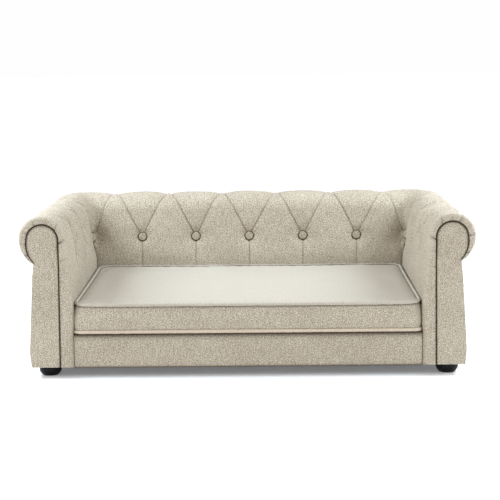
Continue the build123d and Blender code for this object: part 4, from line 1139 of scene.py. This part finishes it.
def cushion_piping(verts, rim, size):
    """The two cords. Each has painted shade at some angles round it, in degrees, where it
    meets the cloth.
    """
    top_cord_shade, bottom_cord_shade = [(-85, 0.8), (165, 0.8)], [(85, 0.8), (-60, 1.0), (-88, 1.0)]
    for word, ids, lift, radius, seed, cloth, shade_at in (
        ("top", rim, 1.2, 4.2, 31, piping_cloth, top_cord_shade),
        ("bottom", rim + size, 1.0, 4.8, 33, warm_piping_cloth, bottom_cord_shade),
    ):
        line = resample(verts[ids] + np.array([0, 0, lift]), 2.6, whole=int)
        points, faces, weave, painted_shade = tube(line, radius, PIPING_SIDES, seed, shade_at)
        if word == "top":
            # The gap between the rear of the cord and the cushion's top shows as a broken dark line of
            # painted shade
            x, y, z = points.T
            behind = smooth(y, 160.0, 178.0) * (0.75 + 0.35 * ripples(35, 160.0)(x, 0 * x))
            _, middle_y, middle_z = np.repeat(line, PIPING_SIDES, axis=0).T
            painted_shade = np.maximum(painted_shade, behind * (y < middle_y + 0.5) * bell(z - middle_z - 1.6, 1.5))
        piece = make_piece(
            f"cushion_{word}_cord", points, faces, weave, cloth, "seat_cushion",
            [f"cushion_{word}_piping"], painted_shade=painted_shade,
        )


def cushion_filling(verts, faces):
    """The foam block: the filled cover drawn in by a few millimetres."""
    middle = np.array([*CUSHION_MIDDLE, (SEAM_LOW + SEAM_HIGH) / 2])
    half = np.array([*CUSHION_HALF, 34.0])
    block = middle + (verts - middle) * (half - np.array([7.0, 7.0, 4.0])) / half
    piece = make_piece(
        "cushion_foam_block", block, faces, block[:, :2], foam_stuff, "seat_cushion",
        ["cushion_foam"],
    )


def cushion_zip():
    """Two tapes with a coil between them, and a stop at each end."""
    low, high = node_box("cushion_zip")
    mid_z = (SEAM_LOW + SEAM_HIGH) / 2
    verts, faces, uvs = [], [], []

    def box(x0, x1, y0, y1, z0, z1, bevel):
        start = len(verts)
        corners = (
            (x0 + bevel, z0), (x1 - bevel, z0), (x1, z0 + bevel), (x1, z1 - bevel),
            (x1 - bevel, z1), (x0 + bevel, z1), (x0, z1 - bevel), (x0, z0 + bevel),
        )
        for y in (y0, y1):
            verts.extend((x, y, z) for x, z in corners)
            uvs.extend((x, z + y) for x, z in corners)
        for k in range(8):
            after = (k + 1) % 8
            faces.append((start + k, start + after, start + 8 + after, start + 8 + k))
        faces.append(tuple(start + k for k in reversed(range(8))))
        faces.append(tuple(start + 8 + k for k in range(8)))

    tape_back = high[1] - 1.0
    for sign in (-1, 1):
        z0, z1 = sorted((mid_z + sign * 0.25, mid_z + sign * (high[2] - low[2]) / 2))
        box(low[0], high[0], low[1], tape_back, z0, z1, 0.15)
    coil_turns = 200
    pitch = (high[0] - low[0] - 12.0) / coil_turns
    for k in range(coil_turns):
        x = low[0] + 6.0 + pitch * (k + 0.5)
        sign = 1 if k % 2 else -1
        z0, z1 = sorted((mid_z - sign * 0.4, mid_z + sign * 1.9))
        box(x - pitch * 0.36, x + pitch * 0.36, tape_back - 0.2, tape_back + 0.75, z0, z1, 0.3)
    for x in (low[0] + 2.5, high[0] - 4.5):
        box(x, x + 2.0, tape_back - 0.4, high[1], mid_z - 2.4, mid_z + 2.4, 0.4)
    make_piece(
        "cushion_zip_tape", verts, faces, uvs, zip_cloth, "seat_cushion", ["cushion_zip"],
    )


cover, cover_faces, cover_rim, panel_size = seat_cushion()
cushion_piping(cover, cover_rim, panel_size)
cushion_filling(cover, cover_faces)
cushion_zip()


# Seat floor and the cloth underneath


def flat_cloth(name, node, material, seed, puff, outline=None):
    low, high = node_box(node)
    line = resample(rectangle(low, high) if outline is None else outline, 12.0)
    flat, faces = panel(line, [2.0, 5.0], 13.0)
    away = edge_distance(flat, line)
    z = high[2] - 0.4 + puff * ripples(seed, 80.0)(flat[:, 0], flat[:, 1]) * smooth(away, 2, 30)
    z = np.minimum(z, high[2])
    verts = np.stack([flat[:, 0], flat[:, 1], z], 1)
    piece = make_piece(name, verts, faces, flat, material, replaced=[node])
    thicken(piece, min(1.0, (high[2] - low[2]) * 0.6))


flat_cloth("seat_floor_cloth", "deck_lining", lining_cloth, 90, 0.35)
low, high = node_box("dust_cover")
DUST_RADIUS = 78.0
arc = np.radians(np.linspace(0, 90, 9))
corner_arc = DUST_RADIUS * (np.stack([np.cos(arc), np.sin(arc)], 1) - 1)
dust_line = [(low[0], low[1]), (high[0], low[1])]
dust_line += [(high[0] + x, high[1] + y) for x, y in corner_arc]
dust_line += [(low[0] - x, high[1] + y) for x, y in corner_arc[::-1]]
flat_cloth("dust_cloth_under", "dust_cover", dust_cloth, 91, 0.2, np.array(dust_line))


# Turned feet


def feet(name, node, centres):
    """Each foot is its profile, as radii and heights, turned round its centre."""
    profile = [
        (0, 0.0), (14, 0.0), (17.4, 0.25), (18.4, 1.1), (20.3, 3.2), (22.7, 6.2), (24.3, 9.4),
        (25.0, 13.0), (24.9, 17.0), (24.5, 21.0), (23.9, 24.6), (23.4, 26.0), (0, 26.1),
    ]
    count = 56
    turn = np.linspace(0, math.tau, count, endpoint=False)
    verts, faces, uvs = [], [], []
    for x, y in centres:
        start = len(verts)
        for radius, z in profile:
            verts += [(x + radius * math.cos(a), y + radius * math.sin(a), z) for a in turn]
            uvs += [(25 * a, z) for a in turn]
        faces += list(grid_faces(len(profile), count, loop=True) + start)
    make_piece(name, verts, faces, uvs, black_lacquer, replaced=[node], weld=0.02)


feet("front_feet_turned", "front_feet", [(-444.5, -251), (444.5, -251)])
feet("rear_feet_turned", "rear_feet", [(-426.66, 226.66), (426.66, 226.66)])


# Finishes for the CAD pieces that stay

FINISHES = (
    (timber_along[0], (
        "base_front_rail", "base_rear_rail", "base_rear_outer_rail", "front_corner_blocks",
        "rear_corner_blocks", "top_corner_blocks", "neck_corner_blocks", "back_top_rail",
        "back_neck_rail",
    )),
    (timber_along[1], (
        "base_inner_side_rails", "base_outer_side_rails", "base_centre_brace", "left_arm_top_rail",
        "right_arm_top_rail", "arm_neck_rails",
    )),
    (timber_along[2], ("corner_posts", "wall_studs")),
    (ply_along[0], ("seat_deck",)),
    (ply_along[2], ("left_arm_front_board", "right_arm_front_board")),
    (board_stuff, ("left_arm_liner", "right_arm_liner", "back_liner")),
    (plated_steel, ("foot_studs", "foot_inserts")),
    (twine_stuff, ("button_ties",)),
    (zip_lacquer, ("zip_slider", "zip_pull")),
)
for finish, finished in FINISHES:
    for node in finished:
        slots = nodes[node].data.materials
        slots.clear()
        slots.append(finish)


# Floor, light and camera

FLOOR_HALF = 40.0
floor_mesh = bpy.data.meshes.new("studio_floor")
floor_corners = [(x, y, 0.0) for x, y in rectangle((-FLOOR_HALF, -FLOOR_HALF), (FLOOR_HALF, FLOOR_HALF))]
floor_mesh.from_pydata(floor_corners, [], [(0, 1, 2, 3)])
floor = bpy.data.objects.new("studio_floor", floor_mesh)
scene.collection.objects.link(floor)
floor_tree = Tree("studio_floor")
floor.data.materials.append(floor_tree.finish(
    Base_Color=(0.9, 0.9, 0.9, 1),
    Roughness=0.9,
    Specular_IOR_Level=0.1,
    Emission_Color=(1.0, 1.0, 1.0, 1.0),
    Emission_Strength=0.15,
))

world = bpy.data.worlds.new("studio")
scene.world = world
world.use_nodes = True
background = world.node_tree.nodes["Background"]
background.inputs["Color"].default_value = (1.0, 1.0, 1.0, 1)
background.inputs["Strength"].default_value = 0.99


def soft_light(name, place, aim, size, power):
    data = bpy.data.lights.new(name, "AREA")
    data.shape = "RECTANGLE"
    data.size, data.size_y = size
    data.energy = power
    data.color = COOL_WHITE
    lamp = bpy.data.objects.new(name, data)
    lamp.location = place
    lamp.rotation_mode = "QUATERNION"
    lamp.rotation_quaternion = (Vector(aim) - Vector(place)).to_track_quat("-Z", "Y")
    scene.collection.objects.link(lamp)


COOL_WHITE = (0.86, 0.98, 1.15)
soft_light("front", (-0.1, -1.7, 1.35), (0, 0, 0.2), (2.6, 0.8), 6.0)
for name, side, power in (("left", -1, 17.5), ("right", 1, 16.0)):
    soft_light(name, (1.05 * side, -0.12, 0.95), (-0.3 * side, -0.05, 0.2), (0.7, 0.5), power)

camera_data = bpy.data.cameras.new("camera")
camera_data.lens, camera_data.sensor_width = 99.25, 36.0
camera_data.clip_start, camera_data.clip_end = 0.05, 60.0
camera = bpy.data.objects.new("camera", camera_data)
scene.collection.objects.link(camera)
scene.camera = camera
CAMERA_PLACE = (0.0381, -3.2767, 0.7123)
PITCH, YAW, ROLL = [math.radians(angle) for angle in (8.172, 0.605, -0.602)]
ahead = Vector((-math.sin(YAW) * math.cos(PITCH), math.cos(YAW) * math.cos(PITCH), -math.sin(PITCH)))
right = ahead.cross(Vector((0, 0, 1))).normalized()
above = right.cross(ahead)
right_turned = right * math.cos(ROLL) + above * math.sin(ROLL)
above_turned = above * math.cos(ROLL) - right * math.sin(ROLL)
axes = Matrix((right_turned, above_turned, -ahead)).transposed()
camera.matrix_world = Matrix.Translation(CAMERA_PLACE) @ axes.to_4x4()
scene.view_settings.view_transform = "Standard"

bpy.context.view_layer.update()
